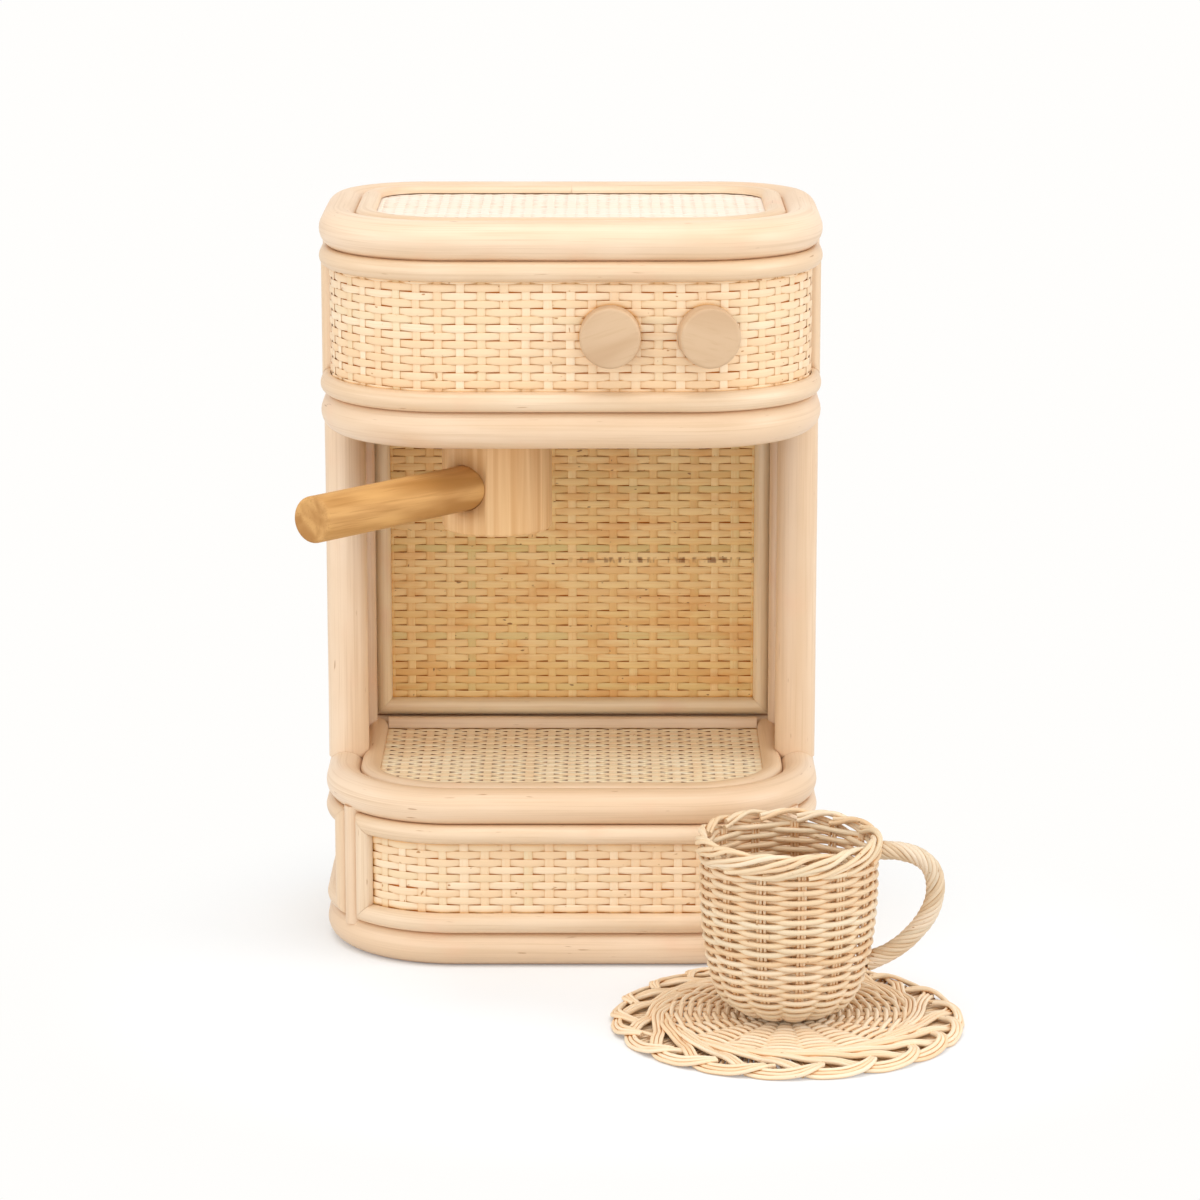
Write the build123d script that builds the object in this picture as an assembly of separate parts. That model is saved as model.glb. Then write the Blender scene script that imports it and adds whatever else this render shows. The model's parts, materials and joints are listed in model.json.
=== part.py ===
from build123d import *
import math
import os

# Toy coffee maker of bent rattan poles and woven cane, with a woven cup and saucer.
# Millimetres, +Z up, front towards -Y, origin on the floor under the middle of the machine.

# ---- plan of the machine, measured at its outer envelope ----
width = 250.0
depth = 176.0
front_radius = 67.0
base_back_radius = 36.0
head_back_radius = 50.0
column_back_radius = 40.0

# ---- round poles ----
base_pole_d = 18.4
head_pole_d = 20.4
post_d = 20.7
rear_post_d = 10.0
batten_d = 10.0
foot_flat = 0.2
cope_overlap = 4.2

# ---- heights of the pole hoops' centres ----
base_top_z = 81.3
head_bottom_z = 272.2
head_top_z = 363.5
base_bottom_z = base_pole_d / 2 - foot_flat

# ---- woven cane sheets and the half-round trims that cover their edges ----
sheet_inset = 4.8
sheet_t = 1.6
trim_w = 10.0
trim_proud = 5.0
ring_proud = 4.4
backing_w = 9.0
backing_t = 4.0
touch = 0.1

# ---- where the panels end, as a share of a corner or of a straight side ----
post_y = 3.65
base_batten_share = 0.62
back_batten_share = 0.5
batten_inset = 5.2

# ---- column ----
rear_post_side = 16.8
rear_post_back = 25.0
inner_panel_back = 15.0
inner_panel_side = 20.4
inner_trim_w = 9.0
rail_h = 8.0
rail_gap = 0.9
column_trim_gap = 0.5

# ---- woven platform and woven top, and the rails below them ----
platform_share = 0.46
crown_share = 0.62
ring_gap = 0.1
platform_batten_w = 6.3
platform_batten_h = 5.4
platform_batten_edge = 1.8
panel_rail_w = 12.0
panel_rail_h = 8.0
panel_rail_x = 50.0
rail_into_hoop = 2.0
strand_pitch = 10.7
strand_w = 4.4
strand_proud = 0.6

# ---- knobs ----
knob_x = (19.3, 66.3)
knob_rise = 1.05
knob_d = 29.6
knob_t = 12.8
knob_edge = 1.2
knob_gap = 0.3
spindle_d = 8.0
running_gap = 0.06
weave_hole_gap = 1.0
knob_block_w = 26.0
knob_block_t = 7.0
collar_d = 18.0
collar_t = 5.0
collar_gap = 0.3

# ---- brew group: turned block, handle and the dowel it swings on ----
group_x = -37.2
group_inset = 62.3
block_d = 55.0
block_h = 53.8
block_edge = 1.8
board_w = 64.0
board_t = 6.0
board_rise = -4.4
board_into_hoop = 2.0
washer_t = 1.4
washer_d = 30.0
group_dowel_d = 12.0
group_dowel_seat = 30.0
group_collar_d = 24.0
group_collar_t = 6.0
handle_rest_h = 23.3
handle_d = 22.6
handle_reach = 145.0
handle_seat = 16.0
handle_swing = 36.0
handle_rise = 1.6
handle_edge = 1.0

# ---- cup ----
cup_x = 104.0
cup_ahead = 86.6
cup_top_r = 43.4
cup_mid_r = 41.0
cup_low_r = 37.3
cup_heel_r = 31.8
cup_foot_r = 22.0
cup_h = 88.6
cup_mid_h = 34.0
cup_low_h = 16.5
cup_heel_h = 6.6
cup_wall = 4.6
cup_floor = 5.0
cup_heel_thick = 4.0
cup_low_thick = 2.0
rim_h = 10.4
rim_w = 6.6
rim_proud = 0.2
round_gap = 0.05
row_pitch = 2.38
row_depth = 0.8
rope_d = 9.2
rope_top_drop = 9.4
rope_shoulder = (18.0, 12.0)
rope_reach = (27.3, 26.6)
rope_elbow = (17.6, 53.0)
rope_low_drop = 64.2
seat_gap = 0.3

# ---- saucer ----
saucer_r = 85.0
saucer_rim_w = 19.0
saucer_rim_h = 6.6
saucer_disc_t = 4.4
saucer_top_z = 6.8

# ---- screws that hold the posts to the hoops ----
screw_d = 3.5
screw_head_d = 7.0
screw_head_t = 2.5
screw_l = 26.0
screw_sink = 1.5

base_pole_r = base_pole_d / 2
head_pole_r = head_pole_d / 2
post_x = width / 2 - head_pole_r
inner_panel_y = depth / 2 - inner_panel_back
inner_panel_half = width / 2 - inner_panel_side
knob_z = (head_bottom_z + head_top_z) / 2 + knob_rise
group_y = -depth / 2 + group_inset
cup_y = -depth / 2 - cup_ahead


# ======================= plan loops =======================

class Loop:
    """A rounded rectangle, seen from above, at a distance inside the outer envelope.

    A place on it is a number: its whole part picks a straight or a corner, counter-clockwise
    from the middle of the front, and the rest is the share of it. The front's middle cuts a
    straight in two, so there are nine of them to the round."""

    def __init__(self, inset, back_radius):
        self.hx = width / 2 - inset
        self.hy = depth / 2 - inset
        self.rf = front_radius - inset
        self.rb = back_radius - inset

    def pieces(self):
        hx, hy, rf, rb = self.hx, self.hy, self.rf, self.rb
        return [
            ("line", (0, -hy), (hx - rf, -hy)),
            ("arc", (hx - rf, -hy + rf), rf, -90),
            ("line", (hx, -hy + rf), (hx, hy - rb)),
            ("arc", (hx - rb, hy - rb), rb, 0),
            ("line", (hx - rb, hy), (-hx + rb, hy)),
            ("arc", (-hx + rb, hy - rb), rb, 90),
            ("line", (-hx, hy - rb), (-hx, -hy + rf)),
            ("arc", (-hx + rf, -hy + rf), rf, 180),
            ("line", (-hx + rf, -hy), (0, -hy)),
        ]

    def round_once(self):
        return len(self.pieces())

    def edge(self, index, a, b, z):
        kind, p, q, *rest = self.pieces()[index]
        if kind == "arc":
            return CenterArc((p[0], p[1], z), q, rest[0] + 90 * a, 90 * (b - a))
        start = (p[0] + (q[0] - p[0]) * a, p[1] + (q[1] - p[1]) * a, z)
        end = (p[0] + (q[0] - p[0]) * b, p[1] + (q[1] - p[1]) * b, z)
        return Line(start, end)

    def path(self, start, end, z=0.0):
        """The stretch of the loop from one place to the next, which may pass the front's middle."""
        edges = []
        here = start
        while here < end - 1e-9:
            index = int(here + 1e-9)
            stop = min(index + 1, end)
            edges.append(self.edge(index % self.round_once(), here - index, stop - index, z))
            here = stop
        return Wire(edges)

    def closed(self, z=0.0):
        return self.path(0, self.round_once(), z)

    def area(self, z=0.0):
        return make_face(self.closed(z))

    def side_place(self, y, right=True):
        """The place on a straight side that lies at this y."""
        share = (y + self.hy - self.rf) / (2 * self.hy - self.rf - self.rb)
        return 2 + share if right else 7 - share


def frame_at(wire, share):
    """Point, direction and outward normal of a wire that runs counter-clockwise."""
    t = wire.tangent_at(share)
    return wire.position_at(share), t, Vector(t.Y, -t.X, 0)


def strip(outer, inner, start, end, z0, z1):
    """An upright strip between two loops, over one stretch of them."""
    a, b = outer.path(start, end, z0), inner.path(start, end, z0)
    ends = [Line(a @ 0, b @ 0), Line(a @ 1, b @ 1)]
    face = make_face(Wire(a.edges() + b.edges() + [e.edge() for e in ends]))
    return extrude(face, z1 - z0, dir=(0, 0, 1))


def pole_hoop(back_radius, pole_r, z):
    """A closed hoop of round pole."""
    path = Loop(pole_r, back_radius).closed(z)
    start, t, _ = frame_at(path, 0)
    return sweep(Plane(origin=start, z_dir=t) * Circle(pole_r), path=path)


def half_round_face(start, t, normal, w, proud):
    """The section of a half-round trim: its flat towards the sheet, its back outward."""
    plane = Plane(origin=start, x_dir=normal, z_dir=t)
    oval = Ellipse(proud, w / 2)
    keep = Pos(proud / 2, 0) * Rectangle(proud, w)
    return plane * (oval & keep)


def level_trim(loop, start, end, z, w=trim_w, proud=trim_proud):
    """A half-round trim that lies level along a stretch of the loop, centred on one height."""
    path = loop.path(start, end, z)
    p, t, n = frame_at(path, 0)
    return sweep(half_round_face(p, t, n, w, proud), path=path)


def upright_trim(p, n, z0, z1, w=trim_w, proud=trim_proud):
    """A straight half-round trim that stands on end."""
    face = half_round_face(Vector(p.X, p.Y, z0), Vector(0, 0, 1), n, w, proud)
    return extrude(face, z1 - z0, dir=(0, 0, 1))


def mitre(p, t, n, z, up, w=trim_w):
    """The two sides of a corner's diagonal: what the level trim gives up, and what the upright one does.

    p is the upright's middle, t points to the far end of the level trim, z is the outer edge of
    the level trim, and up is +1 where that edge is the upper one."""
    near, far = -w / 2 - touch, w / 2 + touch
    plane = Plane(origin=(p.X, p.Y, z), x_dir=t, z_dir=n)
    flip = 1 if (plane.y_dir.Z > 0) == (up > 0) else -1
    outer, inner, past = flip * touch, -flip * (w + 2 * touch), -flip * (w + 4 * touch)
    upright_side = [(2 * near, outer), (near, outer), (far, inner), (far, past), (2 * near, past)]
    level_side = [(near, outer), (far, inner), (far, outer)]
    sides = [plane * make_face(Polyline(*points, close=True)) for points in (upright_side, level_side)]
    return [extrude(side, 2 * trim_proud, both=True) for side in sides]


def framed_panel(back_radius, start, end, z0, z1, hoops):
    """One woven sheet with its four trims and its two backing strips, fitted between two hoops.

    start and end are the middles of the upright trims, as places on the loops."""
    face_loop = Loop(sheet_inset, back_radius)
    back_loop = Loop(sheet_inset + sheet_t, back_radius)
    deep_loop = Loop(sheet_inset + sheet_t + backing_t, back_radius)
    sheet = strip(face_loop, back_loop, start, end, z0 + touch, z1 - touch) - hoops
    whole = face_loop.path(start, end)
    ends = [frame_at(whole, 0), frame_at(whole, 1)]
    levels = [level_trim(face_loop, start, end, z) - hoops for z in (z0 + trim_w / 2, z1 - trim_w / 2)]
    uprights = [upright_trim(p, n, z0, z1) for p, _, n in ends]
    for i, (z, up) in enumerate(((z0, -1), (z1, 1))):
        for k, (p, t, n) in enumerate(ends):
            upright_side, level_side = mitre(p, t if k == 0 else -t, n, z, up)
            levels[i] -= upright_side
            uprights[k] -= level_side
    backs = [strip(back_loop, deep_loop, start, end, z, z + backing_w) - hoops
             for z in (z0 + touch, z1 - touch - backing_w)]
    return sheet, levels + uprights, backs


# ======================= names =======================

parts = {}


def add(name, *solids):
    """Files the separate solids of one node under its name."""
    found = []
    for s in solids:
        found += list(s.solids())
    parts[name] = parts.get(name, []) + found


def shoulder(pole_r, inset):
    """How far above a hoop's centre its surface lies at a given inset."""
    return math.sqrt(pole_r ** 2 - (pole_r - inset) ** 2)


# ======================= hoops and posts =======================

bottom_hoop = pole_hoop(base_back_radius, base_pole_r, base_bottom_z)
bottom_hoop &= Pos(0, 0, depth / 2) * Box(2 * width, 2 * depth, depth)
base_hoop = pole_hoop(base_back_radius, base_pole_r, base_top_z)
head_hoop = pole_hoop(head_back_radius, head_pole_r, head_bottom_z)
crown_hoop = pole_hoop(head_back_radius, head_pole_r, head_top_z)


def post(x, y, d, z_low, z_high, hoops):
    """An upright round post, coped over the hoops at its ends."""
    solid = Pos(x, y, (z_low + z_high) / 2) * Cylinder(d / 2, z_high - z_low)
    for hoop in hoops:
        solid -= hoop
    return max(solid.solids(), key=lambda s: s.volume)


def column_post(x, y, d):
    low = base_top_z + base_pole_r - cope_overlap
    high = head_bottom_z - head_pole_r + cope_overlap
    return post(x, y, d, low, high, (base_hoop, head_hoop))


left_post = column_post(-post_x, post_y, post_d)
right_post = column_post(post_x, post_y, post_d)
rear_post_x, rear_post_y = width / 2 - rear_post_side, depth / 2 - rear_post_back
rear_posts = [column_post(s * rear_post_x, rear_post_y, rear_post_d) for s in (-1, 1)]

base_trim_low = base_bottom_z + shoulder(base_pole_r, sheet_inset) + touch
base_trim_high = base_top_z - shoulder(base_pole_r, sheet_inset) - touch
head_trim_low = head_bottom_z + shoulder(head_pole_r, sheet_inset) + touch
head_trim_high = head_top_z - shoulder(head_pole_r, sheet_inset) - touch
column_low = base_top_z + shoulder(base_pole_r, sheet_inset) + touch
column_high = head_bottom_z - head_pole_r - touch


# ======================= base =======================

def batten_step(radius):
    """The share of a corner between the middle of a batten and the middle of the next trim."""
    return math.degrees(((trim_w + batten_d) / 2 + touch) / radius) / 90


def base():
    batten_loop = Loop(batten_inset, base_back_radius)
    low, high = base_bottom_z + base_pole_r / 2, base_top_z - base_pole_r / 2
    places = (1 + base_batten_share, 3 + back_batten_share, 6 - back_batten_share, 8 - base_batten_share)
    battens = []
    for place in places:
        p, _, _ = frame_at(batten_loop.path(place - 0.01, place), 1)
        battens.append(post(p.X, p.Y, batten_d, low, high, (bottom_hoop, base_hoop)))
    face = Loop(sheet_inset, base_back_radius)
    f, b = batten_step(face.rf), batten_step(face.rb)
    spans = {
        "front": (places[3] + f, face.round_once() + places[0] - f),
        "right": (places[0] + f, places[1] - b),
        "back": (places[1] + b, places[2] - b),
        "left": (places[2] + b, places[3] - f),
    }
    hoops = bottom_hoop + base_hoop
    for name, (start, end) in spans.items():
        heights = (base_trim_low, base_trim_high)
        sheet, trims, backs = framed_panel(base_back_radius, start, end, *heights, hoops)
        add(f"base_{name}_weave", sheet)
        add(f"base_{name}_trim", *trims)
        add("base_backing_strips", *backs)
    add("base_corner_battens", *battens)


# ======================= platform =======================

def raised_strands(sheet, inside):
    """A level sheet with its top sunk between the upright strands of the weave, over one area."""
    sunk = extrude(inside, strand_proud, dir=(0, 0, -1))
    reach = inside.bounding_box().max.X
    for i in range(-int(reach / strand_pitch), int(reach / strand_pitch) + 1):
        sunk -= Pos(i * strand_pitch, 0, inside.center().Z) * Box(strand_w, 2 * depth, 4 * strand_proud)
    return sheet - sunk


def platform():
    weave_top = base_top_z + base_pole_r * platform_share
    ring_inset = base_pole_r + math.sqrt(base_pole_r ** 2 - (weave_top - base_top_z) ** 2) + ring_gap
    sheet_low = weave_top - sheet_t
    edge = base_pole_r + math.sqrt(base_pole_r ** 2 - (sheet_low - base_top_z) ** 2) + ring_gap
    sheet = extrude(Loop(edge, base_back_radius).area(sheet_low), sheet_t, dir=(0, 0, 1))
    back_y = inner_panel_y - trim_proud
    loop = Loop(ring_inset + trim_w / 2, base_back_radius)
    x, y0 = loop.hx, back_y - platform_batten_w / 2
    left, right = loop.side_place(0, False), loop.side_place(0)
    bend = loop.path(left, loop.round_once() + right, weave_top)
    legs = [Line((-x, y0, weave_top), bend @ 0), Line(bend @ 1, (x, y0, weave_top))]
    route = Wire([legs[0]] + list(bend.edges()) + [legs[1]])
    section = Plane(origin=route @ 0, x_dir=(0, 0, 1), z_dir=route % 0)
    keep = Pos(ring_proud / 2, 0) * Rectangle(ring_proud, trim_w)
    ring = sweep(section * (Ellipse(ring_proud, trim_w / 2) & keep), path=route)
    for solid in (base_hoop, left_post, right_post, *rear_posts):
        ring -= solid
    ring = max(ring.solids(), key=lambda s: s.volume)
    half_x = x - trim_w / 2 - touch
    batten = Box(2 * half_x, platform_batten_w, platform_batten_h)
    batten = Pos(0, y0, weave_top + platform_batten_h / 2) * batten
    batten = fillet(batten.edges().filter_by(Axis.X).group_by(Axis.Z)[-1], platform_batten_edge) - base_hoop
    rail_y = Loop(edge, base_back_radius).hy
    rails = []
    for rail_x in (-panel_rail_x, panel_rail_x):
        rail_z = sheet_low - panel_rail_h / 2
        rail = Pos(rail_x, 0, rail_z) * Box(panel_rail_w, 2 * (rail_y + rail_into_hoop), panel_rail_h)
        rails.append(rail - base_hoop)
    inside = Loop(ring_inset + trim_w + touch, base_back_radius).area(weave_top)
    front_y = y0 - platform_batten_w / 2 - touch
    inside &= Pos(0, front_y - depth, weave_top) * Rectangle(2 * width, 2 * depth)
    sheet = raised_strands(sheet, inside)
    add("platform_weave", sheet)
    add("platform_ring_trim", ring)
    add("platform_back_batten", batten)
    add("platform_rails", *rails)


# ======================= column =======================

def column():
    face = Loop(sheet_inset, column_back_radius)
    back = Loop(sheet_inset + sheet_t, column_back_radius)
    deep = Loop(sheet_inset + sheet_t + backing_t, column_back_radius)
    trim_y = post_y + (post_d + trim_w) / 2 + column_trim_gap
    start, end = face.side_place(trim_y), face.side_place(trim_y, False)
    hoops = base_hoop + head_hoop
    shell, trims, _ = framed_panel(column_back_radius, start, end, column_low, column_high, hoops)
    add("column_shell_weave", shell)
    add("column_shell_trim", *trims)
    z_rails = (base_top_z + base_pole_r + touch, column_high - rail_h)
    side_rails = []
    corner_clear = rail_gap / (2 * (face.hy - face.rf))
    for z in z_rails:
        for a, b in ((start, 3 - corner_clear), (6 + corner_clear, end)):
            side_rails.append(strip(back, deep, a, b, z, z + rail_h) - hoops)
    # inner back panel: sheet, trims on its front, rails between it and the shell
    panel_low = z_rails[0]
    sheet_mid = inner_panel_y + sheet_t / 2
    mid_z, tall = (panel_low + column_high) / 2, column_high - panel_low
    sheet = Pos(0, sheet_mid, mid_z) * Box(2 * inner_panel_half, sheet_t, tall)
    out = Vector(0, -1, 0)
    trims = []
    for z in (panel_low + inner_trim_w / 2, column_high - inner_trim_w / 2):
        half = inner_panel_half - inner_trim_w
        p = Vector(-half, inner_panel_y, z)
        section = half_round_face(p, Vector(1, 0, 0), out, inner_trim_w, trim_proud)
        trims.append(extrude(section, 2 * half, dir=(1, 0, 0)))
    for side in (-1, 1):
        p = Vector(side * (inner_panel_half - inner_trim_w / 2), inner_panel_y, 0)
        trims.append(upright_trim(p, out, panel_low, column_high, inner_trim_w))
    rail_t = back.hy - inner_panel_y - sheet_t
    rail_y = back.hy - rail_t / 2
    half = back.hx - back.rb
    rails = []
    for z in z_rails:
        rails.append(Pos(0, rail_y, z + rail_h / 2) * Box(2 * half, rail_t, rail_h) - hoops)
    add("column_inner_weave", sheet)
    add("column_inner_trim", *trims)
    add("column_rails", *rails, *side_rails)


# ======================= head =======================

def head():
    side_loop = Loop(batten_inset, head_back_radius)
    low, high = head_bottom_z + head_pole_r / 2, head_top_z - head_pole_r / 2
    battens = []
    for right in (True, False):
        p = Vector((1 if right else -1) * side_loop.hx, post_y, 0)
        battens.append(post(p.X, p.Y, batten_d, low, high, (head_hoop, crown_hoop)))
    face = Loop(sheet_inset, head_back_radius)
    step = (trim_w + batten_d) / 2 + touch
    front = (face.side_place(post_y - step, False), face.round_once() + face.side_place(post_y - step))
    rear = (face.side_place(post_y + step), face.side_place(post_y + step, False))
    sheets = {}
    hoops = head_hoop + crown_hoop
    for name, (start, end) in {"front": front, "rear": rear}.items():
        heights = (head_trim_low, head_trim_high)
        sheet, trims, backs = framed_panel(head_back_radius, start, end, *heights, hoops)
        sheets[name] = sheet
        add(f"head_{name}_trim", *trims)
        add("head_backing_strips", *backs)
    for x in knob_x:
        sheets["front"] -= knob_frame(x) * Cylinder(spindle_d / 2 + weave_hole_gap, 4 * trim_proud)
    add("head_front_weave", sheets["front"])
    add("head_rear_weave", sheets["rear"])
    add("head_side_battens", *battens)


def crown():
    """The woven top inside the crown hoop, its ring trim and the rails below it."""
    weave_top = head_top_z + head_pole_r * crown_share
    ring_inset = head_pole_r + math.sqrt(head_pole_r ** 2 - (weave_top - head_top_z) ** 2) + ring_gap
    sheet_low = weave_top - sheet_t
    edge = head_pole_r + math.sqrt(head_pole_r ** 2 - (sheet_low - head_top_z) ** 2) + ring_gap
    sheet = extrude(Loop(edge, head_back_radius).area(sheet_low), sheet_t, dir=(0, 0, 1))
    route = Loop(ring_inset + trim_w / 2, head_back_radius).closed(weave_top)
    proud = head_top_z + head_pole_r - weave_top
    section = Plane(origin=route @ 0, x_dir=(0, 0, 1), z_dir=route % 0)
    keep = Pos(proud / 2, 0) * Rectangle(proud, trim_w)
    ring = sweep(section * (Ellipse(proud, trim_w / 2) & keep), path=route)
    rail_y = Loop(edge, head_back_radius).hy
    rails = []
    for x in (-panel_rail_x, panel_rail_x):
        rail_z = sheet_low - panel_rail_h / 2
        rail = Pos(x, 0, rail_z) * Box(panel_rail_w, 2 * (rail_y + rail_into_hoop), panel_rail_h)
        rails.append(rail - crown_hoop)
    sheet = raised_strands(sheet, Loop(ring_inset + trim_w + touch, head_back_radius).area(weave_top))
    add("top_weave", sheet)
    add("top_ring_trim", ring)
    add("top_rails", *rails)


# ======================= knobs =======================

def knob_frame(x):
    """The middle of a knob's seat on the outside of the head's wall, with Z out of the wall."""
    face = Loop(sheet_inset, head_back_radius)
    corner_x = face.hx - face.rf
    lean = math.degrees(math.asin(max(x - corner_x, 0) / face.rf))
    y = -face.hy + face.rf * (1 - math.cos(math.radians(lean)))
    return Pos(x, y, knob_z) * Rot(0, 0, lean) * Rot(90, 0, 0)


def knobs():
    block_front = -(sheet_t + backing_t)
    block_back = block_front - knob_block_t
    tall = head_trim_high - head_trim_low - 4 * touch
    mid_z = (head_trim_low + head_trim_high) / 2
    neighbours = head_hoop + crown_hoop
    strips = parts["head_backing_strips"]
    for x, side in zip(knob_x, ("left", "right")):
        seat = knob_frame(x)
        middle = (block_front + block_back) / 2
        block = Pos(0, mid_z - knob_z, middle) * Box(knob_block_w, tall, knob_block_t)
        block -= Cylinder(spindle_d / 2 + running_gap, 8 * knob_block_t)
        block = seat * block - neighbours
        for solid in strips:
            block -= solid
        disc = Pos(0, 0, knob_gap + knob_t / 2) * Cylinder(knob_d / 2, knob_t)
        disc = fillet(disc.edges().filter_by(GeomType.CIRCLE), knob_edge)
        tip = block_back - collar_gap - collar_t
        spindle = Pos(0, 0, (knob_gap + tip) / 2) * Cylinder(spindle_d / 2, knob_gap - tip)
        ring = Cylinder(collar_d / 2, collar_t) - Cylinder(spindle_d / 2, 2 * collar_t)
        collar = Pos(0, 0, tip + collar_t / 2) * ring
        add("knob_blocks", block)
        add(f"{side}_knob", seat * disc)
        add(f"{side}_knob_spindle", seat * spindle)
        add(f"{side}_knob_collar", seat * collar)


# ======================= brew group =======================

def group():
    board_z = head_bottom_z + board_rise
    inner_y = depth / 2 - 2 * head_pole_r
    board_l = 2 * (inner_y + board_into_hoop)
    board = Pos(group_x, 0, board_z + board_t / 2) * Box(board_w, board_l, board_t) - head_hoop
    through = Pos(group_x, group_y, board_z) * Cylinder(group_dowel_d / 2 + running_gap, 6 * board_t)
    washer_z = board_z - washer_t / 2
    washer = Pos(group_x, group_y, washer_z) * Cylinder(washer_d / 2, washer_t)
    block_top = board_z - washer_t - collar_gap
    block = Pos(group_x, group_y, block_top - block_h / 2) * Cylinder(block_d / 2, block_h)
    block = fillet(block.edges().filter_by(GeomType.CIRCLE), block_edge)
    collar_z = board_z + board_t + collar_gap
    dowel_low, dowel_high = block_top - group_dowel_seat, collar_z + group_collar_t
    dowel = Cylinder(group_dowel_d / 2, dowel_high - dowel_low)
    dowel = Pos(group_x, group_y, (dowel_low + dowel_high) / 2) * dowel
    collar = Cylinder(group_collar_d / 2, group_collar_t)
    collar = Pos(group_x, group_y, collar_z + group_collar_t / 2) * collar
    # the handle leaves the block and points forward, swung to the left, rising a little
    handle_z = block_top - block_h + handle_rest_h
    aim = Rot(0, 0, -90 - handle_swing) * Rot(0, 90 - handle_rise, 0)
    stem = Pos(0, 0, (handle_seat + handle_reach) / 2) * Cylinder(handle_d / 2, handle_reach - handle_seat)
    stem = fillet(stem.edges().group_by(Axis.Z)[-1], handle_edge)
    handle = Pos(group_x, group_y, handle_z) * aim * stem
    socket = Pos(group_x, group_y, handle_z) * aim * Pos(0, 0, handle_seat + block_d / 2)
    socket *= Cylinder(handle_d / 2, block_d)
    add("group_board", board - through)
    add("group_washer", washer - through)
    add("group_block", block - dowel - socket)
    add("group_dowel", dowel)
    add("group_collar", collar - dowel)
    add("group_handle", handle)


# ======================= screws =======================

def screws():
    """Sunk screws up through the base hoop and down through the head hoop into the posts.

    Each comes with the bore that its head went in by."""
    made, bores = [], []
    for x in (-post_x, post_x):
        for z, up in ((base_top_z - base_pole_r, 1), (head_bottom_z + head_pole_r, -1)):
            z += up * screw_sink
            shank = Pos(x, post_y, z + up * screw_l / 2) * Cylinder(screw_d / 2, screw_l)
            cap = Pos(x, post_y, z + up * screw_head_t / 2) * Cylinder(screw_head_d / 2, screw_head_t)
            made.append(shank + cap)
            bores.append(Pos(x, post_y, z) * Cylinder(screw_head_d / 2, 2 * screw_sink))
    return made, bores


# ======================= cup and saucer =======================

def weaver_rows(outline):
    """The outline of the wall with a bulge for each woven row; the tops of the bulges lie on it."""
    rows = round(outline.length / row_pitch)
    valleys = []
    for i in range(rows + 1):
        p, t = outline @ (i / rows), outline % (i / rows)
        sink = row_depth if 0 < i < rows else 0
        valleys.append(p - Vector(t.Y, -t.X, 0) * sink)
    crests = [outline @ ((i + 0.5) / rows) for i in range(rows)]
    return [ThreePointArc(a, crest, b) for a, crest, b in zip(valleys, crests, valleys[1:])]


def cup():
    z0 = saucer_top_z + seat_gap
    top = cup_h - rim_h
    outer = Spline((cup_foot_r, 0), (cup_heel_r, cup_heel_h), (cup_low_r, cup_low_h), (cup_mid_r, cup_mid_h),
                   (cup_top_r, top), tangents=[(1, 0.15), (0.02, 1)])
    w = cup_wall
    heel_h, low_h = cup_heel_h + cup_heel_thick, cup_low_h + cup_low_thick
    inner = Spline((cup_foot_r - w, cup_floor), (cup_heel_r - w, heel_h), (cup_low_r - w, low_h),
                   (cup_mid_r - w, cup_mid_h), (cup_top_r - w, top), tangents=[(1, 0.15), (0.02, 1)])
    foot = Line((0, 0), (cup_foot_r, 0))
    hollow = [Line((cup_top_r, top), (cup_top_r - w, top)), inner,
              Line((cup_foot_r - w, cup_floor), (0, cup_floor)), Line((0, cup_floor), (0, 0))]
    core = [foot, outer, Line((cup_top_r, top), (0, top)), Line((0, top), (0, 0))]
    place = Pos(cup_x, cup_y, z0)
    section = make_face([e.edge() for e in (foot, *weaver_rows(outer), *hollow)])
    wall = place * revolve(Plane.XZ * section, Axis.Z)
    full = place * revolve(Plane.XZ * make_face([e.edge() for e in core]), Axis.Z)
    rim_r = cup_top_r - w / 2 + rim_proud
    border = Plane.XZ * Pos(rim_r, top + rim_h / 2) * RectangleRounded(rim_w, rim_h, rim_w / 2 - round_gap)
    rim = place * revolve(border, Axis.Z)
    # the rope's bends are given by their way out of the wall's top and down from the rim's top
    bends = [(cup_top_r + out, 0, cup_h - down) for out, down in (rope_shoulder, rope_reach, rope_elbow)]
    roots = [(cup_top_r - w, 0, cup_h - down) for down in (rope_top_drop, rope_low_drop)]
    route = Spline(roots[0], *bends, roots[1], tangents=[(1, 0, 0), (-1, 0, -0.45)])
    rope = place * sweep(Plane(origin=route @ 0, z_dir=route % 0) * Circle(rope_d / 2), path=route)
    handle = rope - full - rim
    handle = max(handle.solids(), key=lambda s: s.volume)
    add("cup_wall", wall)
    add("cup_rim", rim)
    add("cup_handle", handle)


def saucer():
    place = Pos(cup_x, cup_y, 0)
    rim_in = saucer_r - saucer_rim_w
    disc_low = saucer_top_z - saucer_disc_t
    disc = place * Pos(0, 0, disc_low + saucer_disc_t / 2) * Cylinder(rim_in, saucer_disc_t)
    band = Plane.XZ * Pos(rim_in + saucer_rim_w / 2, saucer_rim_h / 2) * RectangleRounded(
        saucer_rim_w, saucer_rim_h, saucer_rim_h / 2 - round_gap)
    border = place * revolve(band, Axis.Z) - disc
    add("saucer_disc", disc)
    add("saucer_border", border)


# ======================= build and write =======================

base()
platform()
column()
head()
crown()
knobs()
group()
cup()
saucer()

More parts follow.
